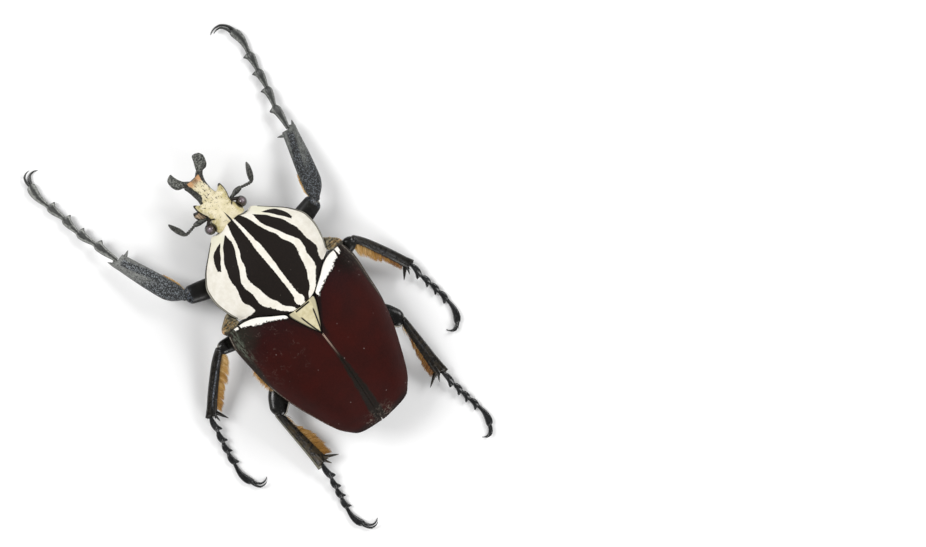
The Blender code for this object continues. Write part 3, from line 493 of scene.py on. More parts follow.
# ---- Wing covers -------------------------------------------------------------------------------
# Two velvety maroon covers of thin chitin, hinged at the shoulders, that meet along the middle of the
# back. A ragged chalk-white band runs along their front edge, dark ground borders the seam and the
# shoulders, and dust has settled in the velvet.
SIDES = (("left", 1.0), ("right", -1.0))
COVER_WALL = 1.0 * MM
MARKING_TURN = 0.0246
# the front and the tail edge by the distance from the midline, and the seam by the place along the body
ELYTRA_BASE = [(4.9, -5.3), (9.0, -7.9), (13.0, -10.3), (16.5, -11.0), (19.5, -11.0), (21.7, -10.2)]
ELYTRA_END = [(0.0, 38.2), (4.6, 37.7), (7.4, 37.3), (10.0, 36.5)]
SEAM_LINE = [(-6.0, 0.3), (5.0, 0.55), (14.0, 0.65), (24.6, 1.05), (32.5, 1.3), (38.4, 1.2)]
elytra_base = profile(ELYTRA_BASE)
elytra_end = profile(ELYTRA_END)
seam_line = profile(SEAM_LINE)
# heights of a drawn curve have to be above zero, so the seam and the front edge are drawn raised by these
SEAM_LIFT = 5.0
BASE_LIFT = 13.0


def cover_top(x, y):
    """The covers' upper side, with a bulge at the shoulder and at the tail and a fine rim."""
    t = min(abs(x) / elytra_width(y), 1.0)
    off_seam = abs(x - seam_line(y))
    height = elytra_dome(x, y, 0.0)
    height += 0.45 * MM * hump(abs(x), 16.8 * MM, 2.6 * MM) * hump(y, -4.5 * MM, 4.5 * MM)
    height += 0.35 * MM * hump(abs(x), 8.0 * MM, 3.0 * MM) * hump(y, 31.0 * MM, 3.5 * MM)
    height += 0.07 * MM * hump(off_seam, 0.45 * MM, 0.35 * MM)
    height -= 0.05 * MM * hump(off_seam, 1.3 * MM, 0.5 * MM)
    return height - 0.12 * MM * hump(t, 0.965, 0.012)


def cover_inner(x, y):
    """The underside's edge, one wall's thickness inside the cover's outline."""
    side = math.copysign(1.0, x)
    kept = min(abs(x), elytra_width(y) - COVER_WALL)
    return side * kept, min(y, elytra_end(kept) - COVER_WALL)


def cover_under(x, y):
    """The covers' underside."""
    return elytra_dome(x, y, COVER_WALL)


velvet = Finish("maroon_velvet", specular_ior_level=0.06, sheen_weight=0.015, sheen_roughness=0.45,
                sheen_tint="8a4a44")
spot = velvet.place()
x, y, _ = velvet.parts(spot)
away = abs(x)
patches = velvet.cloud(spot, 6.0, 4.0)
plush = velvet.cloud(spot, 0.35, 2.0, 0.7)
wine = velvet.mix(patches.step(0.25, 0.75), "2a0e0b", "330e0a")
front_shade = (y + patches * 6.0).step(-7.0, 9.0, 0.85, 0.0)
wine = velvet.mix(front_shade, wine, "1d0e10")
# dark ground at the front corners, along the sides and the seam, at the tail and beside the scutellum
corner = velvet.node("CombineXYZ", {0: away, 1: y}).away_from((20.5, -8.5, 0.0)) + patches * 5.0
# the left corner's ground is a lighter grey-green than the right's, partly a painted sheen
corner_ground_and_sheen = velvet.mix(x.step(-1.0, 1.0), "0e0d0a", "1f211b")
wine = velvet.mix(corner.step(10.5, 5.0), wine, corner_ground_and_sheen)
edge = velvet.mark("rimward")
side_dark = (edge + patches * 0.05 - y.step(-2.0, 17.0, 0.925, 1.0)).step(0.0, 0.05)
wine = velvet.mix(side_dark, wine, "171510")
raised_seam = [(place, SEAM_LIFT + off) for place, off in SEAM_LINE]
off_seam = abs(x + SEAM_LIFT - velvet.along(y, raised_seam))
dark_reach = y.step(2.0, 36.0, 0.05, 1.75)
wobble = (velvet.cloud(spot, 2.0, 4.0, 0.6) - 0.5) * 1.6
dark_seam = (off_seam - dark_reach + wobble).step(-0.3, 0.5, 1.0, 0.0)
wine = velvet.mix(dark_seam * 0.9, wine, "141915")
tail_dark = (y + wobble + away * 0.16).step(36.0, 38.0)
wine = velvet.mix(tail_dark, wine, "1e1817")
beside = off_seam - y.step(-5.4, 4.6, 4.9, 0.1)
beside_reach = y.step(8.0, 4.0, 0.0, x.step(0.0, 1.0, 0.95, 0.55))
wine = velvet.mix(beside.step(2.1, 1.1) * beside_reach, wine, "120e0d")
wine = velvet.mix(plush.step(0.35, 0.75, 0.0, 0.12), wine, "5a2320")
# the pale inner edge along the front half of the seam
seam_pale = off_seam.step(0.16, 0.26, 1.0, 0.0) * y.step(14.5, 5.0)
wine = velvet.mix(seam_pale * 0.85, wine, "bfa493")
# dust: a scatter of pale flecks, thicker near the tail end of the seam and along the sides
fleck_place = spot + (0.0, 0.0, 3.0)
flecks = velvet.grains(fleck_place, 2.1)
own = velvet.parts(velvet.grains(fleck_place, 2.1, out="Color"))[0]
fleck = flecks.step(0.05, 0.11, 1.0, 0.0) * own.step(0.74, 0.9)
wine = velvet.mix(fleck * 0.6, wine, "8f7f7c")
streak = velvet.cloud(spot * (1.6, 0.5, 1.0), 0.9, 4.0, 0.7)
streak = streak.step(0.44, 0.6) * x.step(14.0, 18.0) * abs(edge - 0.925).step(0.06, 0.02)
wine = velvet.mix(streak * y.step(2.0, -4.0, 0.0, 0.85), wine, "5a6054")
dust_place = off_seam.step(2.5, 6.5, 1.0, 0.0) * y.step(32.0, 36.0)
side_dust = away.step(17.0, 21.0) * y.step(14.0, -8.0, 0.0, 0.2)
dust = velvet.cloud(spot, 0.8, 4.0, 0.75)
dust = dust.step(0.5, 0.62) * most(dust_place, side_dust)
wine = velvet.mix(dust * 0.65, wine, "786e64")
# old scratches that curl over the front of the left cover, and a pale line along each cover's edge,
# partly wear and partly a painted highlight
curls = abs(velvet.cloud(spot, 3.4, 3.0, 0.6) - 0.5)
scuffed = x.step(6.0, 9.0) * y.step(13.0, 5.0) * velvet.cloud(spot, 1.7, 2.0).step(0.5, 0.6)
scuffed = scuffed * curls.step(0.012, 0.002)
wine = velvet.mix(scuffed * 0.13, wine, "a08f86")
edge_line = edge - x.step(-1.0, 1.0, 0.967, 0.989)
edge_wear_and_glint = abs(edge_line).step(0.006, 0.003) * plush.step(0.4, 0.6)
edge_wear_and_glint_reach = y - x.step(-1.0, 1.0, 8.0, -6.0)
edge_wear_and_glint_rear = y.step(8.5, 10.0) * x.step(-1.0, 1.0, 0.0, 0.5)
edge_wear_and_glint_reach = most(edge_wear_and_glint_reach.step(2.0, -1.0, 0.0, 0.75), edge_wear_and_glint_rear)
wine = velvet.mix(edge_wear_and_glint * edge_wear_and_glint_reach, wine, "b3aa9b")
# chalk band: its ragged hind edge follows the front edge of the cover
turned = y + x * MARKING_TURN
base_line = velvet.along(away, [(place, BASE_LIFT + height) for place, height in ELYTRA_BASE])
behind = turned + BASE_LIFT - base_line
frayed = (velvet.cloud(spot, 0.6, 4.0, 0.75) - 0.5) * 3.0
BAND_DEPTH = [(5.2, 0.0), (5.7, 1.4), (8.0, 1.6), (10.0, 1.85), (12.0, 2.4), (13.6, 2.6), (15.0, 2.3),
              (16.2, 1.8), (17.5, 1.4), (17.8, 0.0), (18.0, 0.0), (18.3, 1.35), (19.2, 1.25), (19.6, 0.0),
              (21.7, 0.0)]
band_depth = velvet.along(away, BAND_DEPTH)
inside = band_depth + frayed - behind
present = band_depth.step(0.35, 0.7)
chalk = inside.step(-0.02, 0.12) * present
shadow_line = inside.step(-0.55, -0.25, 0.0, 0.85) * present
wine = velvet.mix(shadow_line, wine, "0d0b0a")
wine = velvet.mix(chalk, wine, "f1eee6")
velvet.colour(wine)
velvet.gloss(most(side_dark, dark_seam).step(0.0, 1.0, 0.62, 0.5))
velvet.relief(plush, 0.05, 0.5)
velvet.relief(chalk + patches * 0.3, 0.05, 0.8)


def cover_outline(side):
    """Outline of one wing cover: outer side, tail end, seam, notch for the scutellum and front edge."""
    outer = [(side * elytra_width(y), y) for y in spread(-9.0 * MM, 35.6 * MM, 60)]
    tail = [(side * x, elytra_end(x)) for x in spread(9.5 * MM, 0.0, 14)]
    tail = [(x, y) for x, y in tail if side * (x - seam_line(y)) > 0.3 * MM]
    seam = [(seam_line(y) + side * 0.05 * MM, y) for y in spread(38.1 * MM, 5.3 * MM, 50)]
    notch = [(seam_line(y) + side * half, y) for half, y in ((2.85 * MM, 0.3 * MM), (5.05 * MM, -4.4 * MM))]
    front = [(side * x, elytra_base(x) + 0.1 * MM) for x in spread(5.6 * MM, 21.2 * MM, 30)]
    return outer + tail + seam + notch + front


for name, side in SIDES:
    cover = plate("wing_cover_" + name, cover_outline(side), (side * 10.5 * MM, 10.0 * MM), cover_top,
                  cover_under, count=330, upper=46, lower=14, inner=cover_inner,
                  marks=[("rimward", lambda x, y: min(abs(x) / elytra_width(y), 1.0))])
    dress(cover, velvet, "maroon_elytra", "elytron_" + name)

# ---- Scutellum ---------------------------------------------------------------------------------
# The small cream triangle of hard chitin wedged between the wing covers' front ends, with a black groove
# along each side and a slit where it slips under the thorax shield, painted dark as shade.
SCUTELLUM_HALF = [(-5.4, 4.6), (-4.4, 4.5), (-2.0, 3.55), (0.0, 2.6), (2.4, 1.35), (4.6, 0.05)]
GROOVE_SHARE = 0.56
GROOVE_SHIFT = 0.1
SLIT_PLACE = -4.55
scutellum_half = profile(SCUTELLUM_HALF)


def scutellum_top(x, y):
    """A flat shield with two sunken grooves that run together towards its tip."""
    off = abs(x - seam_line(y))
    groove = 0.30 * MM * hump(off, scutellum_half(y) * GROOVE_SHARE + GROOVE_SHIFT * MM, 0.22 * MM)
    groove *= ramp(y, -3.2 * MM, -1.5 * MM)
    slit = 0.25 * MM * hump(y, SLIT_PLACE * MM, 0.16 * MM) * ramp(off, 2.7 * MM, 2.3 * MM)
    return elytra_dome(x, y, 0.0) + 0.12 * MM - groove - slit


cream = Finish("scutellum_cream", specular_ior_level=0.3)
spot = cream.place()
x, y, _ = cream.parts(spot)
off = abs(x - y.step(-8.0, 8.0, 0.25, 0.62))
half = cream.along(y, SCUTELLUM_HALF)
patches = cream.cloud(spot, 1.2, 4.0)
body = cream.mix(patches.step(0.35, 0.65), "bfb58f", "cfc6a4")
strip = (off - half * 0.62).step(0.0, 0.25)
body = cream.mix(strip, body, "b3ab8c")
line = abs(off - (half * GROOVE_SHARE + GROOVE_SHIFT)).step(0.16, 0.3, 1.0, 0.0) * y.step(-2.8, -1.8)
# painted shade in the slit where the scutellum slips under the shield's edge
slit = abs(y - SLIT_PLACE).step(0.2, 0.3, 1.0, 0.0) * off.step(2.6, 2.3)
rim = (off - half).step(-0.35, -0.1)
body = cream.mix(most(line, slit, rim * 0.8), body, "1b1712")
cream.colour(body)
cream.gloss(0.5)
cream.relief(cream.grains(spot, 0.3), 0.02, 0.5)

left = [(scutellum_half(y), y) for y in spread(-4.5 * MM, 4.6 * MM, 24)]
outline = [(seam_line(y) + x, y) for x, y in both_sides([(0.0, -4.8 * MM), (4.5 * MM, -5.1 * MM)] + left)]
scutellum = plate("scutellum_plate", outline, (0.35 * MM, -2.0 * MM), scutellum_top, cover_under,
                  count=120, upper=26, lower=4)
dress(scutellum, cream, "cream_shield", "scutellum")

# ---- Shoulder wedges ---------------------------------------------------------------------------
# The small hairy sclerites that show between the shield's hind corners and the wing covers'
# shoulders. Dull grey-brown chitin with a pale outer tip and a dark hind edge, under a short tan pile.
wedge_tan = Finish("wedge_tan", specular_ior_level=0.3)
spot = wedge_tan.place()
x, y, _ = wedge_tan.parts(spot)
streaks = wedge_tan.cloud(spot * (0.6, 2.4, 1.0), 1.3, 4.0)
body = wedge_tan.mix(streaks.step(0.35, 0.65), "2f2b20", "8b8064")
tip = abs(x) + streaks * 2.4
body = wedge_tan.mix(tip.step(22.7, 23.4, 0.0, 0.8), body, "c29a70")
body = wedge_tan.mix(y.step(-11.2, -10.85, 0.0, 0.9), body, "191610")
wedge_tan.colour(body)
wedge_tan.gloss(0.6)
wedge_tan.relief(streaks, 0.12, 0.8)

WEDGE_INNER = 17.0
WEDGE_SLOPE = 0.85
WEDGE = [(16.7, -12.3), (17.15, -15.4), (18.6, -14.9), (20.1, -13.7), (21.7, -12.3), (22.3, -11.0),
         (21.9, -10.2), (20.5, -9.2), (19.2, -10.5), (18.0, -11.05), (16.7, -11.75)]


def wedge_top(x, y):
    """Slopes down outward, and slips under the shield's side."""
    height = (17.9 - WEDGE_SLOPE * (abs(x) / MM - WEDGE_INNER)) * MM
    height -= 0.4 * MM * hump(y, -12.3 * MM, 0.3 * MM)
    under_shield = ramp(pronotum_width(y) + 0.3 * MM - abs(x), 0.0, 0.3 * MM)
    return height + (min(height, pronotum_rim(y) - 1.4 * MM) - height) * under_shield


def wedge_under(x, y):
    """The underside, which slopes down outward more gently."""
    return (13.0 - 0.5 * (abs(x) / MM - WEDGE_INNER)) * MM


for name, side in SIDES:
    wedge = plate("shoulder_wedge_" + name, laid_out(WEDGE, side), (side * 19.4 * MM, -12.4 * MM),
                  wedge_top, wedge_under, count=70, upper=18, lower=4)
    dress(wedge, wedge_tan, "tan_wedge", "mesepimeron_" + name)

# ---- Thorax shield -----------------------------------------------------------------------------
# The broad domed shield over the front legs: chalk-white scales with six black velvet bands, held in a
# narrow black rim. The rim turns up along the sides, where its lip is pale towards the rear, partly worn
# and partly a painted highlight.
PRONOTUM_RIDGE = [(-36.1, 16.6), (-33.5, 20.0), (-27.8, 23.6), (-20.0, 25.5), (-12.0, 25.3), (-5.0, 24.8)]
pronotum_ridge = profile(PRONOTUM_RIDGE)


def shield_top(x, y):
    """The dome of the shield, with its turned-up side rim."""
    t = min(abs(x) / pronotum_width(y), 1.0)
    height = pronotum_rim(y) + (pronotum_ridge(y) - pronotum_rim(y)) * (1 - t ** 2.4) ** 0.85
    sides = ramp(y, -35.0 * MM, -33.0 * MM) * ramp(-y, 11.0 * MM, 13.0 * MM)
    return height + (0.32 * MM * hump(t, 0.99, 0.014) - 0.2 * MM * hump(t, 0.955, 0.014)) * sides


# edges of the black bands, as (place along the body, distance from the midline)
MEDIAN_EDGE = [(-36.2, 0.25), (-32.6, 0.5), (-28.8, 0.65), (-25.0, 1.0), (-21.1, 0.95), (-16.1, 0.75),
               (-11.1, 0.75), (-8.2, 0.9), (-7.0, 1.45), (-5.5, 0.9)]
FIRST_EDGE = [(-36.2, 2.1), (-33.5, 3.3), (-30.7, 4.1), (-27.8, 5.2), (-25.9, 6.3), (-23.9, 6.7),
              (-22.0, 7.75), (-20.0, 8.35), (-18.0, 8.05), (-16.0, 7.5), (-14.0, 7.15), (-12.0, 6.6),
              (-10.0, 5.5), (-8.0, 4.65), (-6.3, 2.9), (-5.0, 2.2)]
SECOND_EDGE = [(-34.0, 5.0), (-31.6, 5.0), (-30.6, 5.2), (-27.8, 6.6), (-25.8, 7.7), (-23.9, 8.6),
               (-21.9, 9.8), (-19.8, 10.6), (-17.8, 10.45), (-15.9, 9.9), (-13.8, 10.0), (-11.8, 9.75),
               (-9.9, 8.3), (-7.9, 6.85), (-6.0, 4.9), (-5.0, 3.6)]
THIRD_EDGE = [(-34.0, 5.1), (-32.4, 6.9), (-31.4, 8.0), (-30.5, 8.6), (-27.5, 10.8), (-25.6, 11.5),
              (-23.6, 12.3), (-21.7, 12.5), (-19.7, 12.6), (-17.6, 13.2), (-15.6, 13.55), (-13.6, 12.55),
              (-11.7, 12.2), (-11.2, 14.0), (-10.8, 19.5), (-5.0, 19.5)]
SPOT_INNER = [(-33.0, 7.5), (-32.3, 8.05), (-31.3, 9.05), (-30.4, 9.75), (-29.4, 10.45), (-28.4, 11.35),
              (-27.4, 12.05), (-26.3, 12.8)]
SPOT_OUTER = [(-33.0, 7.5), (-32.2, 9.45), (-31.1, 11.3), (-30.1, 12.1), (-29.2, 12.7), (-28.3, 13.1),
              (-27.3, 13.4), (-26.7, 13.45), (-26.3, 12.9)]

ivory = Finish("ivory_and_black", specular_ior_level=0.14)
spot = ivory.place()
jitter = ivory.cloud(spot, 0.6, 4.0, 0.75) - 0.5
x, y, _ = ivory.parts(spot)
turned = y + x * MARKING_TURN + jitter * 0.8
offset = x + 0.35
away = abs(offset) + offset * 0.035 + jitter * 0.85


def beyond(stations):
    """1 outside the drawn edge and 0 inside it."""
    return (away - ivory.along(turned, stations)).step(-0.04, 0.04)


def within(low, high):
    """1 between two places along the body."""
    return turned.step(low - 0.05, low + 0.05) * turned.step(high + 0.05, high - 0.05)


first = beyond(MEDIAN_EDGE) - beyond(FIRST_EDGE)
second = (beyond(SECOND_EDGE) - beyond(THIRD_EDGE)) * within(-34.0, -4.0)
third = (beyond(SPOT_INNER) - beyond(SPOT_OUTER)) * within(-33.0, -26.3)
bands = most(first, second, third)
rimward = ivory.mark("rimward")
side_rim = rimward.step(0.965, 0.975)
stains = ivory.cloud(spot, 2.2, 5.0, 0.6)
chalk = ivory.mix(stains.step(0.3, 0.7), "dfdacd", "ebe7dd")
grime = ivory.grains(spot, 0.9).step(0.1, 0.02) * stains.step(0.5, 0.62, 0.0, 0.55)
chalk = ivory.mix(grime, chalk, "8f8a7a")
front_cream = turned.step(-28.0, -34.0) * away.step(4.0, 7.0)
chalk = ivory.mix(front_cream * 0.7, chalk, "dedcc2")
pile = ivory.cloud(spot, 0.4, 3.0, 0.7)
pitch = ivory.mix(pile.step(0.35, 0.7), "15100d", "1c1511")
specks = ivory.grains(spot + (1.3, 0.4, 9.0), 2.6)
pitch = ivory.mix(specks.step(0.055, 0.03, 0.0, 0.35), pitch, "8c857a")
painted = ivory.mix(bands, chalk, pitch)
painted = ivory.mix(side_rim, painted, "171410")
# a pale line on the rim's lip, stronger towards the rear: partly wear and partly a painted highlight
lip_wear_and_highlight = abs(rimward - 0.987).step(0.009, 0.004) * turned.step(-29.0, -24.0, 0.15, 0.9)
painted = ivory.mix(lip_wear_and_highlight, painted, "a09d90")
ivory.colour(painted)
ivory.gloss(bands.step(0.0, 1.0, 0.5, 0.7))
ivory.relief(bands, 0.05, 0.5)
ivory.relief(ivory.grains(spot, 0.22), 0.006, 0.5)

front = [(x, pronotum_front(x)) for x in spread(0.0, 7.4 * MM, 16)]
side = [(pronotum_width(y), y) for y in spread(-34.8 * MM, -12.9 * MM, 50)]
base = [(x, pronotum_base(x)) for x in spread(16.5 * MM, 0.0, 34)]


def shield_rimward(x, y):
    """How near a point lies to the side rim, and 0 along the front and hind edges."""
    t = min(abs(x) / pronotum_width(y), 1.0)
    return t * ramp(y, -35.6 * MM, -34.4 * MM) * ramp(-y, 11.6 * MM, 12.6 * MM)


shield = plate("thorax_shield", both_sides(front + side + base), (0.0, -21.0 * MM), shield_top,
               lambda x, y: pronotum_rim(y) - 1.0 * MM, count=300, upper=60, lower=6,
               inner=lambda x, y: (x * 0.97, y), marks=[("rimward", shield_rimward)])
dress(shield, ivory, "ivory_shield", "pronotum")

# ---- Head --------------------------------------------------------------------------------------
# A flat cream-scaled capsule pushed into the shield's front, with keeled lobes at its front corners, a
# dark bar across the front of each eye and a fine black line down the brow, turned a little to the left.
HEAD_PIVOT = Vector((0.0, -35.0, 12.0)) * MM
HEAD_TURN = math.radians(4.0)
HEAD_HALF_WIDTH = [(0.4, 5.0), (1.8, 5.35), (3.2, 5.1), (4.6, 4.5), (5.8, 4.35), (7.6, 4.95), (9.4, 5.3),
                   (11.0, 5.25)]
HEAD_RIDGE = [(0.0, 16.2), (1.8, 16.1), (4.0, 15.7), (7.0, 14.2), (9.6, 12.8), (11.2, 12.0)]
HEAD_UNDER = [(1.8, 8.4), (5.0, 7.6), (9.0, 8.4), (11.2, 9.8)]
# the notch in the brow's edge before each eye, in millimetres ahead and across, and its slant
NOTCH_AHEAD = 4.3
NOTCH_ACROSS = 3.2
NOTCH_SLANT = 0.6
EYE_CENTRE = Vector((6.15, -2.95, 13.1)) * MM
EYE_RADII = Vector((1.6, 1.7, 2.2)) * MM
head_half = profile(HEAD_HALF_WIDTH)
head_ridge = profile(HEAD_RIDGE)
head_under = profile(HEAD_UNDER)
head_turn = (Matrix.Translation(HEAD_PIVOT) @ Matrix.Rotation(HEAD_TURN, 4, "Z")
             @ Matrix.Translation((0.0, 0.0, -HEAD_PIVOT.z)))


def oval(turn, power):
    """A point of an oval outline, squarer for a lower power."""
    c = math.cos(turn)
    s = math.sin(turn)
    return math.copysign(abs(c) ** power, c), math.copysign(abs(s) ** power, s)


def limb(name, form, sides, rings, marks=()):
    """A closed tube. A cylinder is cut across into rings and each of its points is taken to its place by
    form(share of the length, turn round the axis, distance out from the axis)."""
    bpy.ops.object.select_all(action="DESELECT")
    bpy.ops.mesh.primitive_cylinder_add(vertices=sides, radius=1.0, depth=1.0, end_fill_type="TRIFAN")
    piece = bpy.context.object
    piece.name = name
    piece.data.name = name
    bpy.ops.object.mode_set(mode="EDIT")
    pick(piece, "EDGE", lambda edge: abs(edge.verts[0].co.z - edge.verts[1].co.z) > 0.9)
    bpy.ops.mesh.subdivide(number_cuts=rings - 1)
    bpy.ops.object.mode_set(mode="OBJECT")
    layers = [(piece.data.attributes.new(mark, "FLOAT", "POINT"), measure) for mark, measure in marks]
    for vert in piece.data.vertices:
        x, y, z = vert.co
        turn = math.atan2(y, x)
        out = 1.0 if math.hypot(x, y) > 0.5 else 0.0
        share = min(max(z + 0.5, 0.0), 1.0)
        for layer, measure in layers:
            layer.data[vert.index].value = measure(share, turn) if out else 0.0
        vert.co = form(share, turn, out)
    return smooth_skin(piece)


def through(stations):
    """The smooth path through (centre, half width, half height) stations, by the share of its length."""
    lengths = [0.0]
    for here, there in zip(stations, stations[1:]):
        lengths.append(lengths[-1] + math.dist(here[0], there[0]))
    rows = [(*centre, across, up) for centre, across, up in stations]
    parts = [profile(list(zip(lengths, column))) for column in zip(*rows)]

    def at(share):
        values = [part(lengths[-1] * share * MM) for part in parts]
        return Vector(values[:3]), values[3], values[4]

    return at


def beaded(beads, depth, width):
    """The girth of a limb that narrows at each of its beads' joints, by the share of its length."""
    return lambda share: 1.0 - depth * max(hump(share, bead, width) for bead in beads)


def rounded(share, start, end):
    """How full a limb is at a share of its length, with its ends rounded off."""
    close = min(share / start, 1.0) if start else 1.0
    far = min((1.0 - share) / end, 1.0) if end else 1.0
    return math.sqrt(max(1.0 - (1.0 - close) ** 2, 0.0)) * math.sqrt(max(1.0 - (1.0 - far) ** 2, 0.0))


def bent_limb(name, stations, sides, rings, power=0.9, ends=(0.05, 0.05), girth=None):
    """A tube along a path of stations, its girth changed along the way where girth is given."""
    at = through(stations)

    def form(share, turn, out):
        centre, across, up = at(share)
        ahead = (at(min(share + 0.01, 1.0))[0] - at(max(share - 0.01, 0.0))[0]).normalized()
        level = ahead.cross(Vector((0.0, 0.0, 1.0))).normalized()
        c, s = oval(turn, power)
        full = rounded(share, *ends) * (girth(share) if girth else 1.0) * out
        return centre + (level * across * c + level.cross(ahead) * up * s) * full

    return limb(name, form, sides=sides, rings=rings)


def mirrored(stations, side):
    """The stations of a limb on the left for side 1 and on the right for side -1."""
    return [((side * x, y, z), across, up) for (x, y, z), across, up in stations]


def joined(name, pieces):
    """Several pieces as one."""
    choose(*pieces)
    bpy.ops.object.join()
    pieces[0].name = name
    pieces[0].data.name = name
    return pieces[0]


def head_top(x, y):
    """The brow, falling forward to a shallow hollow between the two raised front lobes."""
    ahead = -y
    t = min(abs(x) / (head_half(ahead) * 1.04), 1.0)
    low = (head_ridge(ahead) + head_under(ahead)) / 2
    height = low + (head_ridge(ahead) - low) * (1 - t ** 3) ** 0.6
    notch = (ahead - NOTCH_AHEAD * MM - (abs(x) - NOTCH_ACROSS * MM) * NOTCH_SLANT) / 1.17
    height -= 0.5 * MM * hump(notch, 0, 0.22 * MM) * ramp(abs(x), 2.9 * MM, 3.5 * MM)
    height -= 0.55 * MM * hump(x, 0, 2.4 * MM) * ramp(ahead, 6.0 * MM, 8.5 * MM)
    height += 0.4 * MM * hump(abs(x), 3.9 * MM, 0.55 * MM) * ramp(ahead, 6.2 * MM, 9.0 * MM)
    return height - 0.15 * MM * hump(x, 0, 0.16 * MM) * ramp(-ahead, -5.0 * MM, -2.2 * MM)


def head_bottom(x, y):
    """The throat side of the capsule."""
    ahead = -y
    t = min(abs(x) / (head_half(ahead) * 1.04), 1.0)
    low = (head_ridge(ahead) + head_under(ahead)) / 2 - 0.5 * MM
    return low - (low - head_under(ahead)) * (1 - t ** 2.4) ** 0.6


def head_place(finish):
    """The place on the head in millimetres, as if it looked straight ahead."""
    back = Matrix.Rotation(-HEAD_TURN, 3, "Z")
    shift = -(back @ Vector((0.0, HEAD_PIVOT.y / MM, 0.0)))
    return finish.node("Mapping", {"Vector": finish.place(), "Location": shift,
                                   "Rotation": (0.0, 0.0, -HEAD_TURN)})


def head_cream(finish, spot, across, ahead):
    """Cream scales, stained yellow towards the sides, with dark scratches that crowd on the horn."""
    stains = finish.cloud(spot, 1.6, 5.0, 0.6)
    body = finish.mix(stains.step(0.32, 0.66), "d0c59f", "e1d7b9")
    yellow = across.step(1.8, 4.2) * stains.step(0.42, 0.6, 0.75, 0.0)
    body = finish.mix(yellow, body, "bcae70")
    drawn = spot * (1.0, 0.6, 1.0)
    grit = finish.cloud(drawn, 0.55, 3.0, 0.8)
    crowd = ahead.step(2.0, 12.0, 0.605, 0.55) + stains.step(0.35, 0.6, 0.0, 0.04)
    scratch = (grit - crowd).step(0.0, 0.03)
    return finish.mix(scratch * 0.9, body, "3f3529")


brow = Finish("brow_cream", specular_ior_level=0.3)
spot = head_place(brow)
x, y, _ = brow.parts(spot)
across = abs(x)
ahead = y * -1.0
body = head_cream(brow, spot, across, ahead)
notch = abs(ahead - NOTCH_AHEAD - (across - NOTCH_ACROSS) * NOTCH_SLANT)
notch = notch.step(0.16, 0.34, 1.0, 0.0) * across.step(3.0, 3.5)
line = (across - ahead.step(1.8, 5.0, 0.24, -0.05)).step(0.0, 0.08, 1.0, 0.0) * ahead.step(5.2, 4.6)
edge = brow.mark("inside")
rim = edge.step(0.2, 0.44, 1.0, 0.0)
lobe_tip = ahead.step(10.3, 10.8) * across.step(3.2, 3.8)
beside_eye = brow.node("CombineXYZ", {0: across, 1: y}).away_from((EYE_CENTRE.x / MM, EYE_CENTRE.y / MM, 0.0))
socket = beside_eye.step(1.75, 2.1, 0.9, 0.0)
brow.colour(brow.mix(most(notch, line, rim, lobe_tip, socket), body, "1c1611"))
brow.gloss(0.5)
brow.relief(brow.grains(spot, 0.4), 0.05, 0.5)

nape = laid_out([(0.0, -1.0), (2.0, -1.05), (3.8, -0.45), (4.9, -0.35)])
side = [(head_half(ahead), -ahead) for ahead in spread(1.2 * MM, 10.4 * MM, 30)]
lobe = laid_out([(5.1, -11.2), (4.6, -11.0), (3.9, -10.2), (3.3, -9.8), (0.0, -9.7)])


def head_inside(x, y):
    """How far inside the dark side edge a point lies, in millimetres. The edge stops at nape and lobes."""
    nape_end = 2.0 * ramp(y, -5.4 * MM, -4.0 * MM)
    lobe_end = 2.0 * ramp(-y, 10.2 * MM, 10.6 * MM) * (abs(x) < 4.5 * MM)
    return (head_half(-y) - abs(x)) / MM + nape_end + lobe_end


head = plate("head_capsule", both_sides(nape + side + lobe), (0.0, -5.6 * MM), head_top, head_bottom,
             count=170, upper=34, lower=24, marks=[("inside", head_inside)])
BROW_BAR = [((3.8, -5.35, 12.9), 0.3, 0.3), ((4.8, -5.05, 13.5), 0.5, 0.35), ((5.7, -4.5, 14.15), 0.55, 0.32),
            ((6.6, -3.95, 14.2), 0.35, 0.25)]
head_pieces = [head]
for _, side in SIDES:
    head_pieces.append(bent_limb("brow_bar", mirrored(BROW_BAR, side), sides=16, rings=24, ends=(0.1, 0.2)))
head = joined("head_capsule", head_pieces)
head.data.transform(head_turn)
dress(head, brow, "cream_shield", "head")

# ---- Eyes --------------------------------------------------------------------------------------
# A glossy bulging eye on each side of the brow, plum-brown with a painted grey highlight on its top that
# fades to black towards its lower side, made of countless tiny facets and held in a dark ring.
eye_gloss = Finish("eye_gloss", coat_weight=0.6, coat_roughness=0.08, specular_ior_level=0.5)
spot = head_place(eye_gloss)
x, y, z = eye_gloss.parts(spot)
across = abs(x)
around = eye_gloss.node("CombineXYZ", {0: across, 1: y, 2: z})
off_top = around.away_from((6.6, -3.2, 15.3))
facets = eye_gloss.grains(spot, 0.11)
# a painted grey highlight on the top of the eye, fading through plum-brown to black below
plum_and_highlight = eye_gloss.mix(off_top.step(0.3, 1.25, 0.0, 1.0), "766a70", "33241f")
plum_and_highlight = eye_gloss.mix(off_top.step(1.25, 1.75), plum_and_highlight, "120d0c")
eye_gloss.colour(plum_and_highlight)
eye_gloss.gloss(0.18)
eye_gloss.relief(facets, 0.012, 0.6)
for name, side in SIDES:
    bpy.ops.mesh.primitive_uv_sphere_add(segments=56, ring_count=36, radius=1.0)
    eye = bpy.context.object
    eye.name = "bead_eye_" + name
    for vert in eye.data.vertices:
        x, y, z = vert.co
        bulge = Vector((x * EYE_RADII.x, y * EYE_RADII.y * (1.0 - 0.06 * z),
                        z * EYE_RADII.z * (1.0 - 0.1 * x)))
        vert.co = EYE_CENTRE + bulge
        vert.co.x *= side
    eye.data.transform(head_turn)
    smooth_skin(eye)
    dress(eye, eye_gloss, "eye_brown", "eye_" + name)


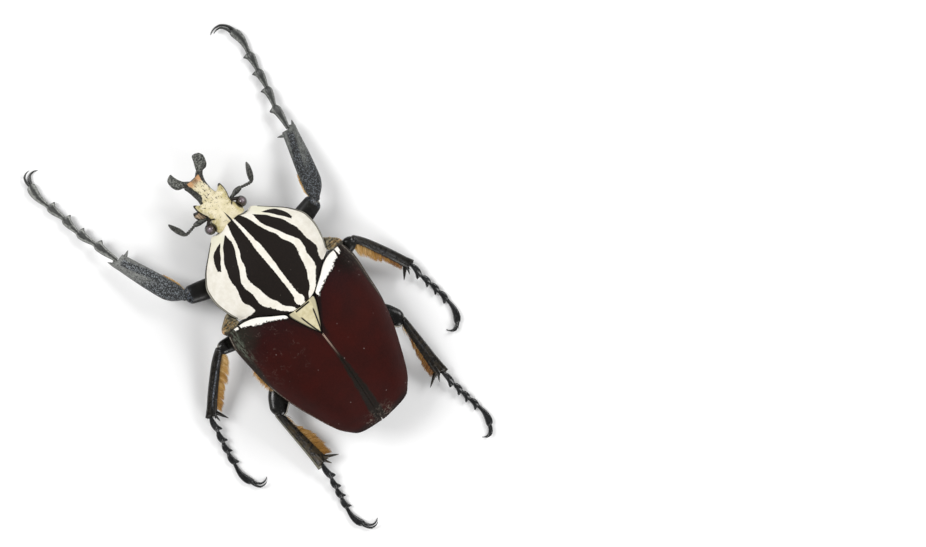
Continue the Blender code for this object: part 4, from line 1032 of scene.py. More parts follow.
# ---- Horn --------------------------------------------------------------------------------------
# The forked horn that grows from the brow: a flat stem, cream above and black on its flanks, and two
# broad grey-black paddles that climb forward and outward. Their chitin is rough with close-set grains.
def applied(piece, kind, **settings):
    """Add a modifier to a piece and apply it."""
    choose(piece)
    change = piece.modifiers.new(kind.lower(), kind)
    for setting, value in settings.items():
        setattr(change, setting, value)
    bpy.ops.object.modifier_apply(modifier=change.name)


HORN_STEM = [((0, -9.2, 10.9), 2.7, 1.5), ((0, -10.6, 10.8), 2.45, 1.55), ((0, -11.6, 10.7), 2.3, 1.5),
             ((0, -13.4, 10.5), 2.35, 1.4), ((0, -15.0, 10.6), 2.7, 1.35), ((0, -16.2, 10.8), 3.2, 1.25),
             ((0, -17.0, 11.0), 2.4, 0.8)]
HORN_ARM = [((1.0, -15.7, 10.8), 1.1, 0.9), ((2.1, -16.6, 11.0), 1.1, 0.95), ((3.2, -17.7, 11.6), 1.0, 0.95),
            ((4.2, -18.85, 12.4), 1.1, 0.9), ((4.8, -20.2, 13.5), 0.7, 0.6)]
# outlines of the two paddles seen from above, each as on the left side
HORN_PADDLES = {
    "left": [(2.1, -17.7), (3.9, -16.9), (4.6, -17.15), (5.3, -17.5), (5.9, -18.2), (6.3, -19.3),
             (6.45, -20.8), (6.2, -21.8), (5.3, -22.45), (4.2, -22.75), (3.9, -21.2), (3.45, -19.85),
             (2.7, -18.55)],
    "right": [(2.4, -18.5), (3.8, -17.0), (4.5, -17.05), (5.3, -17.05), (6.1, -17.75), (6.55, -18.95),
              (6.85, -20.5), (6.2, -21.9), (5.0, -22.5), (4.1, -22.65), (3.7, -22.1), (3.3, -20.75),
              (2.8, -19.5)],
}
PADDLE_HUB = Vector((4.8, -19.8)) * MM


def paddle_rise(y):
    """The middle of a paddle's thickness, which climbs towards its tip."""
    return 11.5 * MM + 0.78 * (-y - 17.5 * MM)


def paddle_swell(x, y):
    """Half a paddle's thickness, fullest at its heart."""
    off = math.hypot(abs(x) - PADDLE_HUB.x, y - PADDLE_HUB.y)
    return (0.45 + 0.4 * hump(off, 0.0, 1.7 * MM)) * MM


def paddle_top(x, y):
    """The upper side of a paddle."""
    return paddle_rise(y) + paddle_swell(x, y)


def paddle_under(x, y):
    """The underside of a paddle."""
    return paddle_rise(y) - paddle_swell(x, y)


shell = Finish("horn_shell", specular_ior_level=0.35)
spot = head_place(shell)
x, y, z = shell.parts(spot)
across = abs(x)
ahead = y * -1.0
shell_patches = shell.cloud(spot, 1.2, 4.0)
grains = shell.cloud(spot, 0.48, 3.0, 0.8)
paddle = ahead.step(16.8, 18.8)
grain = shell.mix(paddle, "4e4d47", "80827c")
ground = shell.mix(paddle, "151412", "242524")
grey = shell.mix(grains.step(0.45, 0.58), ground, grain)
grey = shell.mix(shell_patches.step(0.45, 0.75, 0.0, 0.4), grey, ground)
top_cream = head_cream(shell, spot, across, ahead)
rust = (ahead + shell_patches * 2.4).step(15.9, 17.3)
russet = shell.mix(across.step(0.5, 1.2), "74481f", "b87c46")
top_cream = shell.mix(rust * 0.8, top_cream, russet)
cream_half = shell.along(ahead, [(9.0, 2.9), (10.4, 2.5), (11.6, 1.85), (12.8, 1.75), (14.6, 2.15),
                                 (16.0, 2.4), (17.4, 2.7)])
ragged = (shell_patches - 0.5) * 0.7
right_flank = ahead.step(12.8, 15.2, -0.3, 0.5)
lopsided = across + x.step(-1.0, 1.0, right_flank, 0.3)
off_top = (lopsided - cream_half + ragged).step(-0.1, 0.12)
front = (ahead - across * 0.12).step(16.7, 17.0)
under = z.step(11.4, 11.1)
off_top = most(off_top, front, under)
shell.colour(shell.mix(off_top, top_cream, grey))
shell.gloss(0.42)
shell.relief(grains, 0.12, 0.9)

stem = bent_limb("horn_stem", HORN_STEM, sides=44, rings=44, power=0.62)
for vert in stem.data.vertices:
    low = (10.9 * MM - vert.co.z) / (1.5 * MM)
    vert.co.x *= 1.0 + 0.14 * low
    vert.co.x += 0.9 * MM * max(low, 0.0) * ramp(vert.co.x, 0.5 * MM, 2.0 * MM)
horn_pieces = [stem]
for name, side in SIDES:
    horn_pieces.append(bent_limb("horn_arm", mirrored(HORN_ARM, side), sides=36, rings=52, power=0.75,
                                 ends=(0.02, 0.06)))
    horn_pieces.append(plate("horn_paddle", laid_out(HORN_PADDLES[name], side),
                             (side * PADDLE_HUB.x, PADDLE_HUB.y), paddle_top, paddle_under, count=90,
                             upper=14, lower=14))
horn = joined("forked_horn", horn_pieces)
applied(horn, "REMESH", mode="VOXEL", voxel_size=0.14 * MM)
applied(horn, "SMOOTH", factor=0.5, iterations=6)
horn.data.transform(head_turn)
smooth_skin(horn, 80.0)
dress(horn, shell, "grey_black_shell", "horn")

# ---- Antennae ----------------------------------------------------------------------------------
# A stout first joint, six short bead-like joints and a club of three leaves that fold together, each
# of thin satin-black chitin, hinged under the edge of the brow.
ANTENNA_STALK = [((4.4, -5.6, 11.6), 0.45, 0.45), ((5.6, -5.8, 11.6), 0.55, 0.5),
                 ((7.2, -6.2, 11.6), 0.88, 0.78), ((8.5, -6.3, 11.6), 0.68, 0.62),
                 ((9.2, -6.2, 11.6), 0.45, 0.42), ((10.6, -5.9, 11.5), 0.5, 0.45),
                 ((12.0, -5.7, 11.4), 0.52, 0.48), ((12.8, -6.0, 11.4), 0.45, 0.45)]
ANTENNA_CLUB = [((12.4, -5.5, 11.4), 0.2, 0.3), ((12.75, -6.2, 11.4), 0.3, 0.6),
                ((13.3, -7.5, 11.4), 0.36, 0.85), ((13.9, -8.9, 11.4), 0.34, 0.8),
                ((14.4, -10.2, 11.4), 0.26, 0.55), ((14.65, -11.2, 11.4), 0.12, 0.2)]
LEAF_SPREAD = (0.1, 0.35, 0.5, 0.46, 0.28, 0.05)
ANTENNA_ROOT = (4.5, -5.6)
ANTENNA_SWEEP = {"left": 5.0, "right": -4.5}
STALK_BEADS = [0.0, 0.545, 0.63, 0.715, 0.80, 0.885, 1.0]

satin_black = Finish("antenna_satin", specular_ior_level=0.4)
spot = satin_black.place()
mottle = satin_black.cloud(spot, 0.5, 4.0)
satin_black.colour(satin_black.mix(mottle.step(0.35, 0.7), "242422", "55554f"))
satin_black.gloss(mottle.step(0.3, 0.7, 0.3, 0.45))
satin_black.relief(satin_black.grains(spot, 0.16), 0.02, 0.6)

for name, side in SIDES:
    parts = [bent_limb("stalk", mirrored(ANTENNA_STALK, side), sides=20, rings=90, ends=(0.02, 0.03),
                       girth=beaded(STALK_BEADS, 0.42, 0.012))]
    for leaf in (-1, 0, 1):
        path = [((x + apart * leaf, y + 0.4 * apart * leaf, z), across, up)
                for ((x, y, z), across, up), apart in zip(ANTENNA_CLUB, LEAF_SPREAD)]
        parts.append(bent_limb("leaf", mirrored(path, side), sides=20, rings=30, ends=(0.08, 0.06)))
    antenna = joined("feeler_" + name, parts)
    root = Vector((side * ANTENNA_ROOT[0], ANTENNA_ROOT[1], 0.0)) * MM
    sweep = Matrix.Rotation(-side * math.radians(ANTENNA_SWEEP[name]), 4, "Z")
    antenna.data.transform(head_turn @ Matrix.Translation(root) @ sweep @ Matrix.Translation(-root))
    dress(antenna, satin_black, "grey_black_shell", "antenna_" + name)

# ---- Mouthparts --------------------------------------------------------------------------------
# The lower lip under the head, a jointed feeler and a fleshy tan lobe on each side of it. Black
# chitin, apart from the lobes, which are soft and fringed.
MOUTH_PLATE = [((0, -2.2, 6.9), 2.4, 0.7), ((0, -5.0, 6.4), 3.2, 0.9), ((0, -7.6, 6.8), 2.6, 0.8),
               ((0, -8.8, 7.6), 1.6, 0.5)]
MOUTH_FEELER = [((1.6, -5.2, 6.3), 0.6, 0.6), ((3.9, -5.6, 6.7), 0.55, 0.55), ((5.7, -6.6, 8.0), 0.55, 0.55),
                ((6.3, -8.1, 9.2), 0.62, 0.62), ((6.2, -9.4, 9.8), 0.35, 0.35)]
MOUTH_LOBE = [((4.4, -5.6, 10.0), 0.5, 0.7), ((5.2, -6.8, 10.2), 0.85, 0.9), ((5.7, -8.2, 10.5), 0.8, 0.75),
              ((5.9, -9.3, 10.7), 0.35, 0.35)]
MOUTH_BEADS = (0.0, 0.33, 0.62, 1.0)

mouth_black = Finish("mouth_black", specular_ior_level=0.4)
spot = head_place(mouth_black)
x, y, z = mouth_black.parts(spot)
mottle = mouth_black.cloud(spot * (2.5, 0.6, 1.0), 1.0, 4.0)
soft = z.step(9.4, 9.9) * y.step(-8.8, -8.2)
tan = mouth_black.mix(mottle.step(0.38, 0.62), "6d5a49", "c9b193")
mouth_black.colour(mouth_black.mix(soft, "17120f", tan))
mouth_black.gloss(0.4)
mouth_black.relief(mottle, 0.06, 0.7)

mouth_pieces = [bent_limb("lip", MOUTH_PLATE, sides=30, rings=24, power=0.8, ends=(0.1, 0.12))]
for _, side in SIDES:
    tucked = 0.0 if side > 0 else 2.6
    feeler, lobe = [[((x - tucked, y + tucked, z), across, up) for (x, y, z), across, up in stations]
                    for stations in (MOUTH_FEELER, MOUTH_LOBE)]
    mouth_pieces.append(bent_limb("feeler", mirrored(feeler, side), sides=16, rings=60, ends=(0.03, 0.06),
                                  girth=beaded(MOUTH_BEADS, 0.4, 0.018)))
    mouth_pieces.append(bent_limb("lobe", mirrored(lobe, side), sides=20, rings=22, ends=(0.15, 0.15)))
mouth = joined("mouth_pieces", mouth_pieces)
mouth.data.transform(head_turn)
dress(mouth, mouth_black, "black_shell", "mouthparts")

# ---- Hips --------------------------------------------------------------------------------------
# The first joint of each leg: a smooth knuckle of glossy black chitin, pinched a little below its middle,
# that turns in a socket of the breast.

# Each pair of legs, in millimetres: the hip's place and radii; the lengths of thigh and shin, their half
# widths as (share, sideways, upward) and their bow or shift outward; the hollow, slant and outer point of
# the shin's end; spurs as (length, turn inward); the foot's joints, end heights, half width and bow.
LEGS = {
    "fore": {
        "hip": (4.9, -19.5, 5.6), "hip_radii": (3.3, 3.0, 3.6),
        "thigh": 20.0, "thigh_bow": 0.0,
        "thigh_girth": [(0.0, 1.3, 1.2), (0.07, 2.0, 1.5), (0.12, 1.9, 1.45), (0.3, 2.8, 1.9),
                        (0.6, 3.1, 2.1), (0.9, 2.75, 1.75), (1.0, 2.6, 1.6)],
        "shin": 22.3, "shin_end": (0.4, 0.35, 0.7),
        "shin_shift": [(0.0, 0.0), (0.05, 0.1), (0.12, 0.5), (0.3, 0.9), (0.55, 0.8), (0.92, 0.45),
                       (1.0, 0.3)],
        "shin_girth": [(0.0, 1.3, 1.15), (0.04, 1.4, 1.3), (0.1, 1.95, 1.5), (0.18, 2.7, 1.55),
                       (0.3, 3.05, 1.55), (0.55, 2.9, 1.45), (0.75, 2.65, 1.35), (0.92, 2.4, 1.25),
                       (1.0, 2.2, 1.15)],
        "spurs": (),
        "foot": (7.75, 6.0, 5.75, 5.65, 8.1), "foot_height": (4.0, 2.7, 1.8, 1.25, 1.0, 0.8),
        "foot_width": 1.44, "foot_bow": 0.7, "claw_girth": 0.46,
    },
    "mid": {
        "hip": (5.6, -2.0, 4.4), "hip_radii": (3.2, 3.2, 3.1),
        "thigh": 21.7, "thigh_bow": 0.3,
        "thigh_girth": [(0.0, 1.2, 1.1), (0.07, 1.8, 1.4), (0.12, 1.7, 1.35), (0.3, 2.4, 1.6),
                        (0.6, 2.6, 1.8), (0.9, 2.15, 1.5), (1.0, 2.0, 1.4)],
        "shin": 20.7, "shin_end": (0.5, -0.1, 1.1),
        "shin_shift": [(0.0, 0.0), (0.3, 0.45), (0.6, 0.4), (1.0, 0.0)],
        "shin_girth": [(0.0, 1.0, 1.1), (0.12, 1.3, 1.2), (0.4, 1.48, 1.2), (0.85, 1.58, 1.15),
                       (1.0, 1.65, 1.05)],
        "spurs": ((3.4, 68.0), (2.7, 44.0)),
        "foot": (5.05, 3.8, 3.6, 3.95, 7.9), "foot_height": (3.4, 2.2, 1.5, 1.0, 0.75, 0.65),
        "foot_width": 1.12, "foot_bow": 0.8, "claw_girth": 0.44,
    },
    "hind": {
        "hip": (8.6, 6.4, 4.6), "hip_radii": (5.2, 3.1, 3.0),
        "thigh": 19.9, "thigh_bow": 1.0,
        "thigh_girth": [(0.0, 1.4, 1.2), (0.07, 2.1, 1.5), (0.12, 2.0, 1.45), (0.3, 3.0, 1.85),
                        (0.65, 3.4, 2.0), (0.9, 2.7, 1.65), (1.0, 2.4, 1.5)],
        "shin": 20.9, "shin_end": (0.6, -0.2, 1.3), "shin_shift": [(0.0, 0.0), (1.0, 0.0)],
        "shin_girth": [(0.0, 1.1, 1.25), (0.12, 1.25, 1.35), (0.5, 1.6, 1.3), (0.85, 1.95, 1.2),
                       (1.0, 2.25, 1.1)],
        "spurs": ((4.4, 54.0), (3.1, 26.0)),
        "foot": (5.4, 3.65, 3.35, 3.7, 7.2), "foot_height": (3.4, 2.2, 1.5, 1.0, 0.75, 0.65),
        "foot_width": 1.14, "foot_bow": 0.7, "claw_girth": 0.44,
    },
}
# The stance of each leg, in degrees as on the left side: heading and rise of thigh and shin, headings of
# the five foot joints, and each claw's turn inward, with its reach and shift inward in millimetres.
STANCE = {
    ("fore", "left"): {"thigh": (-19.4, 7.5), "shin": (-67.4, -10.9),
                       "foot": (-74.5, -73.0, -84.5, -76.9, -88.0),
                       "claws": ((6.0, 4.0, 0.3), (-20.0, 3.9, -0.4))},
    ("fore", "right"): {"thigh": (-15.1, 7.5), "shin": (-72.0, -10.9),
                        "foot": (-82.5, -73.7, -78.4, -79.9, -89.0),
                        "claws": ((6.0, 6.2, -0.7), (2.0, 4.6, 0.55))},
    ("mid", "left"): {"thigh": (-16.2, 13.6), "shin": (47.7, -17.1),
                      "foot": (79.0, 78.1, 77.8, 82.3, 95.1),
                      "claws": ((4.0, 3.8, 0.3), (-7.0, 3.9, -0.3))},
    ("mid", "right"): {"thigh": (-18.5, 13.6), "shin": (61.3, -17.1),
                       "foot": (85.0, 76.3, 79.4, 82.7, 103.0),
                       "claws": ((26.0, 3.3, 0.25), (20.0, 3.4, -0.15))},
    ("hind", "left"): {"thigh": (38.3, 11.3), "shin": (94.6, -14.1),
                       "foot": (86.5, 79.8, 80.3, 79.8, 97.1),
                       "claws": ((4.0, 3.9, 0.3), (-5.0, 4.0, -0.3))},
    ("hind", "right"): {"thigh": (44.0, 11.3), "shin": (89.9, -14.1),
                        "foot": (82.0, 80.5, 80.5, 77.9, 95.7),
                        "claws": ((4.0, 3.6, 0.25), (-1.0, 3.7, -0.15))},
}
UP = Vector((0.0, 0.0, 1.0))
FLOOR_GAP = 0.05 * MM


def heading(degrees, rise, sign):
    """A direction with a heading in the level plane and a rise above it, mirrored for sign -1."""
    turn = math.radians(degrees)
    lift = math.radians(rise)
    return Vector((sign * math.cos(turn) * math.cos(lift), math.sin(turn) * math.cos(lift), math.sin(lift)))


class Leg:
    """One leg's joints and directions."""

    def __init__(self, pair, side, sign):
        self.pair = pair
        self.side = side
        self.sign = sign
        self.size = LEGS[pair]
        self.stance = STANCE[(pair, side)]
        x, y, z = self.size["hip"]
        self.hip = Vector((self.sign * x, y, z)) * MM
        self.radii = Vector(self.size["hip_radii"]) * MM
        self.thigh_axis = heading(*self.stance["thigh"], self.sign)
        self.knee = self.hip + self.thigh_axis * self.size["thigh"] * MM
        self.shin_axis = heading(*self.stance["shin"], self.sign)
        self.ankle = self.knee + self.shin_axis * self.size["shin"] * MM
        self.inner = UP.cross(self.shin_axis).normalized() * self.sign
        if pair == "fore":
            self.inner.negate()

    def girth(self, part):
        """Half the width and half the height of the thigh or the shin, by the share of its length."""
        wide = profile([(share, across) for share, across, _ in self.size[part + "_girth"]])
        high = profile([(share, up) for share, _, up in self.size[part + "_girth"]])
        return wide, high

    def name(self, part):
        """The name of one of the leg's parts."""
        return "_".join((part, self.pair, self.side))


legs = [Leg(pair, side, sign) for pair in LEGS for side, sign in SIDES]

leg_black = Finish("leg_black", specular_ior_level=0.35, coat_weight=0.25, coat_roughness=0.08)
spot = leg_black.place()
pits = leg_black.grains(spot, 0.5)
patches = leg_black.cloud(spot, 1.6, 4.0)
leg_black.colour(leg_black.mix(patches.step(0.4, 0.75), "0c0b0a", "191918"))
leg_black.gloss(patches.step(0.3, 0.7, 0.2, 0.32))
leg_black.relief(pits.step(0.1, 0.35), 0.05, 0.6)

for leg in legs:
    bpy.ops.mesh.primitive_uv_sphere_add(segments=40, ring_count=26, radius=1.0)
    hip = bpy.context.object
    hip.name = leg.name("hip")
    for vert in hip.data.vertices:
        x, y, z = vert.co
        pinch = 1.0 - 0.08 * hump(z, -0.25, 0.12) - 0.10 * ramp(z, 0.5, 1.0)
        vert.co = leg.hip + Vector((x * leg.radii.x * pinch, y * leg.radii.y * pinch, z * leg.radii.z))
    smooth_skin(hip)
    dress(hip, leg_black, "black_shell", leg.name("coxa"))

# ---- Thighs ------------------------------------------------------------------------------------
# Flattened spindles of glossy black chitin with scattered pits. Each has a collar next to the hip and
# opens into two round cheeks at the knee, whose rims are pale in patches. A painted highlight runs
# along the hind pair's outer edge.
KNEE_ROUND = 0.12


def thigh_form(leg):
    """The thigh's shape along its axis, from the hip to the round end that holds the shin."""
    axis = leg.thigh_axis
    start = math.sqrt(sum((radius * part) ** 2 for radius, part in zip(leg.radii, axis))) - 0.6 * MM
    across, up = leg.girth("thigh")
    length = leg.size["thigh"] * MM + 0.5 * MM
    outer = UP.cross(axis).normalized() * -leg.sign
    level = axis.cross(UP).normalized()
    rise = level.cross(axis)

    def form(share, turn, out):
        centre = leg.hip + axis * (start + (length - start) * share)
        centre += outer * leg.size["thigh_bow"] * MM * math.sin(math.pi * share)
        c, s = oval(turn, 0.9)
        full = rounded(share, 0.02, KNEE_ROUND) * out
        cheek = 1.0 - 0.14 * hump(c, 0.0, 0.30) * ramp(share, 0.86, 1.0)
        return centre + (level * across(share * MM) * c + rise * up(share * MM) * s * cheek) * full

    return form


thigh_black = Finish("thigh_black", specular_ior_level=0.3, coat_roughness=0.08)
spot = thigh_black.place()
_, y, _ = thigh_black.parts(spot)
pits = thigh_black.grains(spot, 0.62)
patches = thigh_black.cloud(spot, 2.2, 4.0)
share = thigh_black.mark("share")
edge = thigh_black.mark("edge")
# worn: a painted highlight along the outer edge of a hind thigh, and pale patches on the knee rim
worn = share.step(0.5, 0.62) * share.step(0.995, 0.96)
worn = worn * edge.step(0.985, 0.996) * patches.step(0.25, 0.4)
knee_rim = share.step(0.95, 0.98) * patches.step(0.5, 0.6)
worn = most(worn, knee_rim * 0.3)
body = thigh_black.mix(patches.step(0.4, 0.75), "0b0a09", "191814")
flecks = thigh_black.cloud(spot, 0.5, 3.0, 0.8).step(0.5, 0.6)
fore_knee = share.step(0.86, 0.95) * y.step(-11.0, -14.0)
body = thigh_black.mix(fore_knee * flecks, body, "59606a")
thigh_black.colour(thigh_black.mix(worn, body, "c9c3b4"))
thigh_black.gloss(patches.step(0.3, 0.7, y.step(-14.0, -11.0, 0.42, 0.18), 0.34))
thigh_black.feed(thigh_black.shader.inputs["Coat Weight"], y.step(-14.0, -11.0, 0.03, 0.16))
thigh_black.relief(pits.step(0.08, 0.3), 0.06, 0.6)

for leg in legs:
    outward = math.pi - 0.5 if leg.side == "left" else 0.5
    line = 1.0 if leg.pair == "hind" else 0.0
    marks = [("share", lambda share, turn: share),
             ("edge", lambda share, turn: line * math.cos(turn - outward))]
    thigh = limb(leg.name("thigh"), thigh_form(leg), sides=40, rings=76, marks=marks)
    dress(thigh, thigh_black, "black_shell", leg.name("femur"))

# ---- Shins -------------------------------------------------------------------------------------
# The fore shins are broad grey-black blades with a coarse pitted band between smooth edges and a spike
# at each front corner. The others are narrower and glossier, with two long spurs at the inner corner.

# teeth of a fore shin: share of its length, place outward, way ahead and outward, length and girth
FORE_TEETH = [(0.945, -1.2, (0.1, -1.0), 2.6, 0.7), (0.34, -1.2, (0.1, -1.0), 1.0, 0.4),
              (0.93, 1.85, (1.0, 0.09), 4.2, 1.0)]
SHIN_POWER = 0.95
TOOTH_MARKS = [("share", lambda share, turn: 0.985), ("reach", lambda share, turn: 0.9)]


def spine(root, way, length, girth, sides=7, marks=()):
    """A stiff pointed bristle or tooth."""
    level = way.cross(UP).normalized()
    rise = level.cross(way)

    def form(share, turn, out):
        full = (1.0 - share) ** 0.7 * girth * out
        return root + way * length * share + (level * math.cos(turn) + rise * math.sin(turn)) * full

    return limb("spine", form, sides=sides, rings=8, marks=marks)


def shin_form(leg):
    """The shin's shape from the knee to its end, with a point drawn out at each corner."""
    axis = leg.shin_axis
    across, up = leg.girth("shin")
    length = leg.size["shin"] * MM
    level = axis.cross(UP).normalized()
    rise = level.cross(axis)
    inward = 1.0 if level.dot(leg.inner) > 0 else -1.0
    shift = profile(leg.size["shin_shift"])
    hollow, slant, corner_point = leg.size["shin_end"]
    fore = leg.pair == "fore"

    def form(share, turn, out):
        centre = leg.knee + axis * (length * share - 0.8 * MM * (1.0 - share))
        centre -= leg.inner * shift(share * MM)
        c, s = oval(turn, SHIN_POWER)
        reach = c * inward
        wide = across(share * MM)
        high = up(share * MM)
        full = rounded(share, 0.03, 0.012) * out
        if s > 0 and fore:
            high *= 1.0 + 0.16 * hump(abs(reach), 0.80, 0.16) - 0.12 * hump(reach, 0.1, 0.35)
        elif s > 0:
            high *= 1.0 + 0.16 * hump(reach, 0.15, 0.14) - 0.12 * hump(abs(reach - 0.15), 0.45, 0.18)
        point = centre + (level * wide * c + rise * high * s) * full
        drawn = ramp(share, 0.9, 1.0) * out
        point += axis * (hollow * (1.0 if fore else reach ** 2 - 0.3) - slant * reach) * MM * drawn
        corner = max((-reach - 0.45) / 0.55, 0.0) ** 1.4 * drawn
        return point + (axis * 0.95 - leg.inner * 0.1) * corner_point * MM * corner

    return form


def shin_reach(leg):
    """How far in or out a point lies across the shin, from -1 at its outer edge to 1 at its inner."""
    inward = 1.0 if leg.shin_axis.cross(UP).dot(leg.inner) > 0 else -1.0
    return lambda share, turn: inward * oval(turn, SHIN_POWER)[0]


fore_shin = Finish("fore_shin", specular_ior_level=0.45)
spot = fore_shin.place()
share = fore_shin.mark("share")
reach = fore_shin.mark("reach")
patches = fore_shin.cloud(spot, 1.1, 4.0, 0.6)
flecks = fore_shin.cloud(spot, 0.44, 3.0, 0.85)
x, _, _ = fore_shin.parts(spot)
# painted light: the left shin is coloured lighter than the right, more so towards its far end
painted_light = x.step(-5.0, 5.0) * share.step(0.1, 0.5, 0.25, 1.0)
lean = reach + (patches - 0.5) * 0.4
trough = share.step(0.55, 0.95, 0.5, 0.1)
band = abs(lean - trough).step(0.3, 0.5, 1.0, 0.0) * share.step(0.97, 0.92)
rough = (share + lean * 0.15).step(0.66, 0.36) * lean.step(0.86, 0.72)
band = most(band, rough)
body = fore_shin.mix(patches.step(0.3, 0.7), "3d3f3c", "696c68")
body = fore_shin.mix(painted_light * 0.3, body, "a3a4a1")
grain = fore_shin.mix(painted_light, "6a7076", "959ba0")
pitted = fore_shin.mix(flecks.step(0.49, 0.62), fore_shin.mix(painted_light, "0d0d0c", "1a1b1c"), grain)
coarse = fore_shin.mix(flecks.step(0.4, 0.52, 0.75, 0.0), body, "1b1c1c")
body = fore_shin.mix(band, coarse, pitted)
rim = abs(reach).step(0.955, 0.99)
body = fore_shin.mix(rim, body, "17181a")
fore_shin.colour(body)
fore_shin.gloss(band.step(0.0, 1.0, 0.36, 0.42))
fore_shin.relief(flecks * (band + 0.35), 0.35, 1.0)

shin_black = Finish("shin_black", specular_ior_level=0.3, coat_weight=0.1, coat_roughness=0.1)
spot = shin_black.place()
reach = shin_black.mark("reach")
x, y, _ = shin_black.parts(spot)
patches = shin_black.cloud(spot, 1.3, 4.0, 0.6)
share = shin_black.mark("share")
lengthwise = shin_black.node("CombineXYZ", {0: reach * 2.4, 1: share * 5.0})
wrinkles = shin_black.cloud(lengthwise, 0.8, 3.0, 0.6)
body = shin_black.mix(patches.step(0.35, 0.75), "0c0a07", "1f1a12")
brown = y.step(21.0, 24.0, 0.0, x.step(-1.0, 1.0, 0.3, 1.0)) * patches.step(0.42, 0.58, 0.15, 1.0)
body = shin_black.mix(brown, body, "33270f")
# a painted bluish highlight along the ridge of a middle shin, and a pale line along the outer edge of the
# left hind one
sheen = abs(reach - share.step(0.1, 0.8, 0.3, 0.0)).step(0.26, 0.06) * share.step(0.95, 0.6)
sheen = sheen * shin_black.cloud(spot, 0.45, 3.0, 0.8).step(0.46, 0.58)
body = shin_black.mix(sheen * y.step(17.0, 14.0, 0.15, x.step(-1.0, 1.0, 0.2, 0.8)), body, "868c96")
worn = abs(reach + 0.84).step(0.13, 0.05) * x.step(-1.0, 1.0)
body = shin_black.mix(worn * y.step(16.0, 18.0, 0.0, 0.6), body, "8d8c7a")
shin_black.colour(body)
shin_black.gloss(patches.step(0.3, 0.7, 0.22, 0.38))
shin_black.relief(wrinkles, 0.3, 0.7)

for leg in legs:
    shin = limb(leg.name("shin"), shin_form(leg), sides=44, rings=96,
                marks=[("share", lambda share, turn: share), ("reach", shin_reach(leg))])
    pieces = [shin]
    for k, (length, turn) in enumerate(leg.size["spurs"]):
        root = leg.ankle + leg.inner * (1.3 - 0.9 * k) * MM - leg.shin_axis * (0.9 - 0.2 * k) * MM
        root.z += (0.25 - 0.4 * k) * MM
        way = leg.shin_axis * math.cos(math.radians(turn)) + leg.inner * math.sin(math.radians(turn))
        pieces.append(spine(root, way, (length + 0.8) * MM, (0.68 - 0.1 * k) * MM, sides=14))
    for k in range(6 if leg.size["spurs"] else 0):
        reach = 0.85 - 0.34 * k
        half = leg.size["shin_girth"][-1][1]
        root = leg.ankle + (leg.inner * reach * 0.8 * half - leg.shin_axis * 0.5) * MM
        root.z += (0.5 - 0.5 * (k % 2)) * MM
        way = (leg.shin_axis + leg.inner * (0.25 + 0.25 * reach)).normalized()
        pieces.append(spine(root, way, (1.5 + 0.5 * (k % 2)) * MM, 0.3 * MM, sides=8))
    if leg.pair == "fore":
        for share, out, (ahead, outward), length, girth in FORE_TEETH:
            root = leg.knee + (leg.shin_axis * leg.size["shin"] * share - leg.inner * out) * MM
            way = (leg.shin_axis * ahead - leg.inner * outward).normalized()
            pieces.append(spine(root, way, length * MM, girth * MM, sides=14, marks=TOOTH_MARKS))
        dress(joined(leg.name("shin"), pieces), fore_shin, "grey_black_shell", leg.name("tibia"))
    else:
        dress(joined(leg.name("shin"), pieces), shin_black, "black_shell", leg.name("tibia"))

# ---- Feet --------------------------------------------------------------------------------------
# Five joints in a chain: four that flare to a sharp inner tooth and a long last one that carries two
# hooked claws with a pair of bristles between them. Hard chitin, furrowed along its back.
FOOT_INNER = [(0.0, 0.45), (0.12, 0.48), (0.35, 0.58), (0.65, 0.8), (0.84, 1.0), (0.94, 0.98), (1.0, 0.5)]
FORE_OUTER = [(0.0, 0.5), (0.1, 0.52), (0.35, 0.74), (0.65, 0.93), (0.82, 0.95), (0.93, 0.76), (1.0, 0.5)]
HIND_OUTER = [(0.0, 0.42), (0.1, 0.5), (0.32, 0.85), (0.52, 0.95), (0.75, 0.86), (0.92, 0.6), (1.0, 0.42)]
TOE_GIRTH = [(0.0, 0.48), (0.1, 0.5), (0.35, 0.68), (0.65, 0.95), (0.82, 1.04), (0.93, 0.92), (1.0, 0.6)]
CLAW_SWEEP = math.radians(124.0)
foot_inner = profile(FOOT_INNER)
foot_outer = {"fore": profile(FORE_OUTER), "mid": profile(HIND_OUTER), "hind": profile(HIND_OUTER)}
toe_girth = profile(TOE_GIRTH)


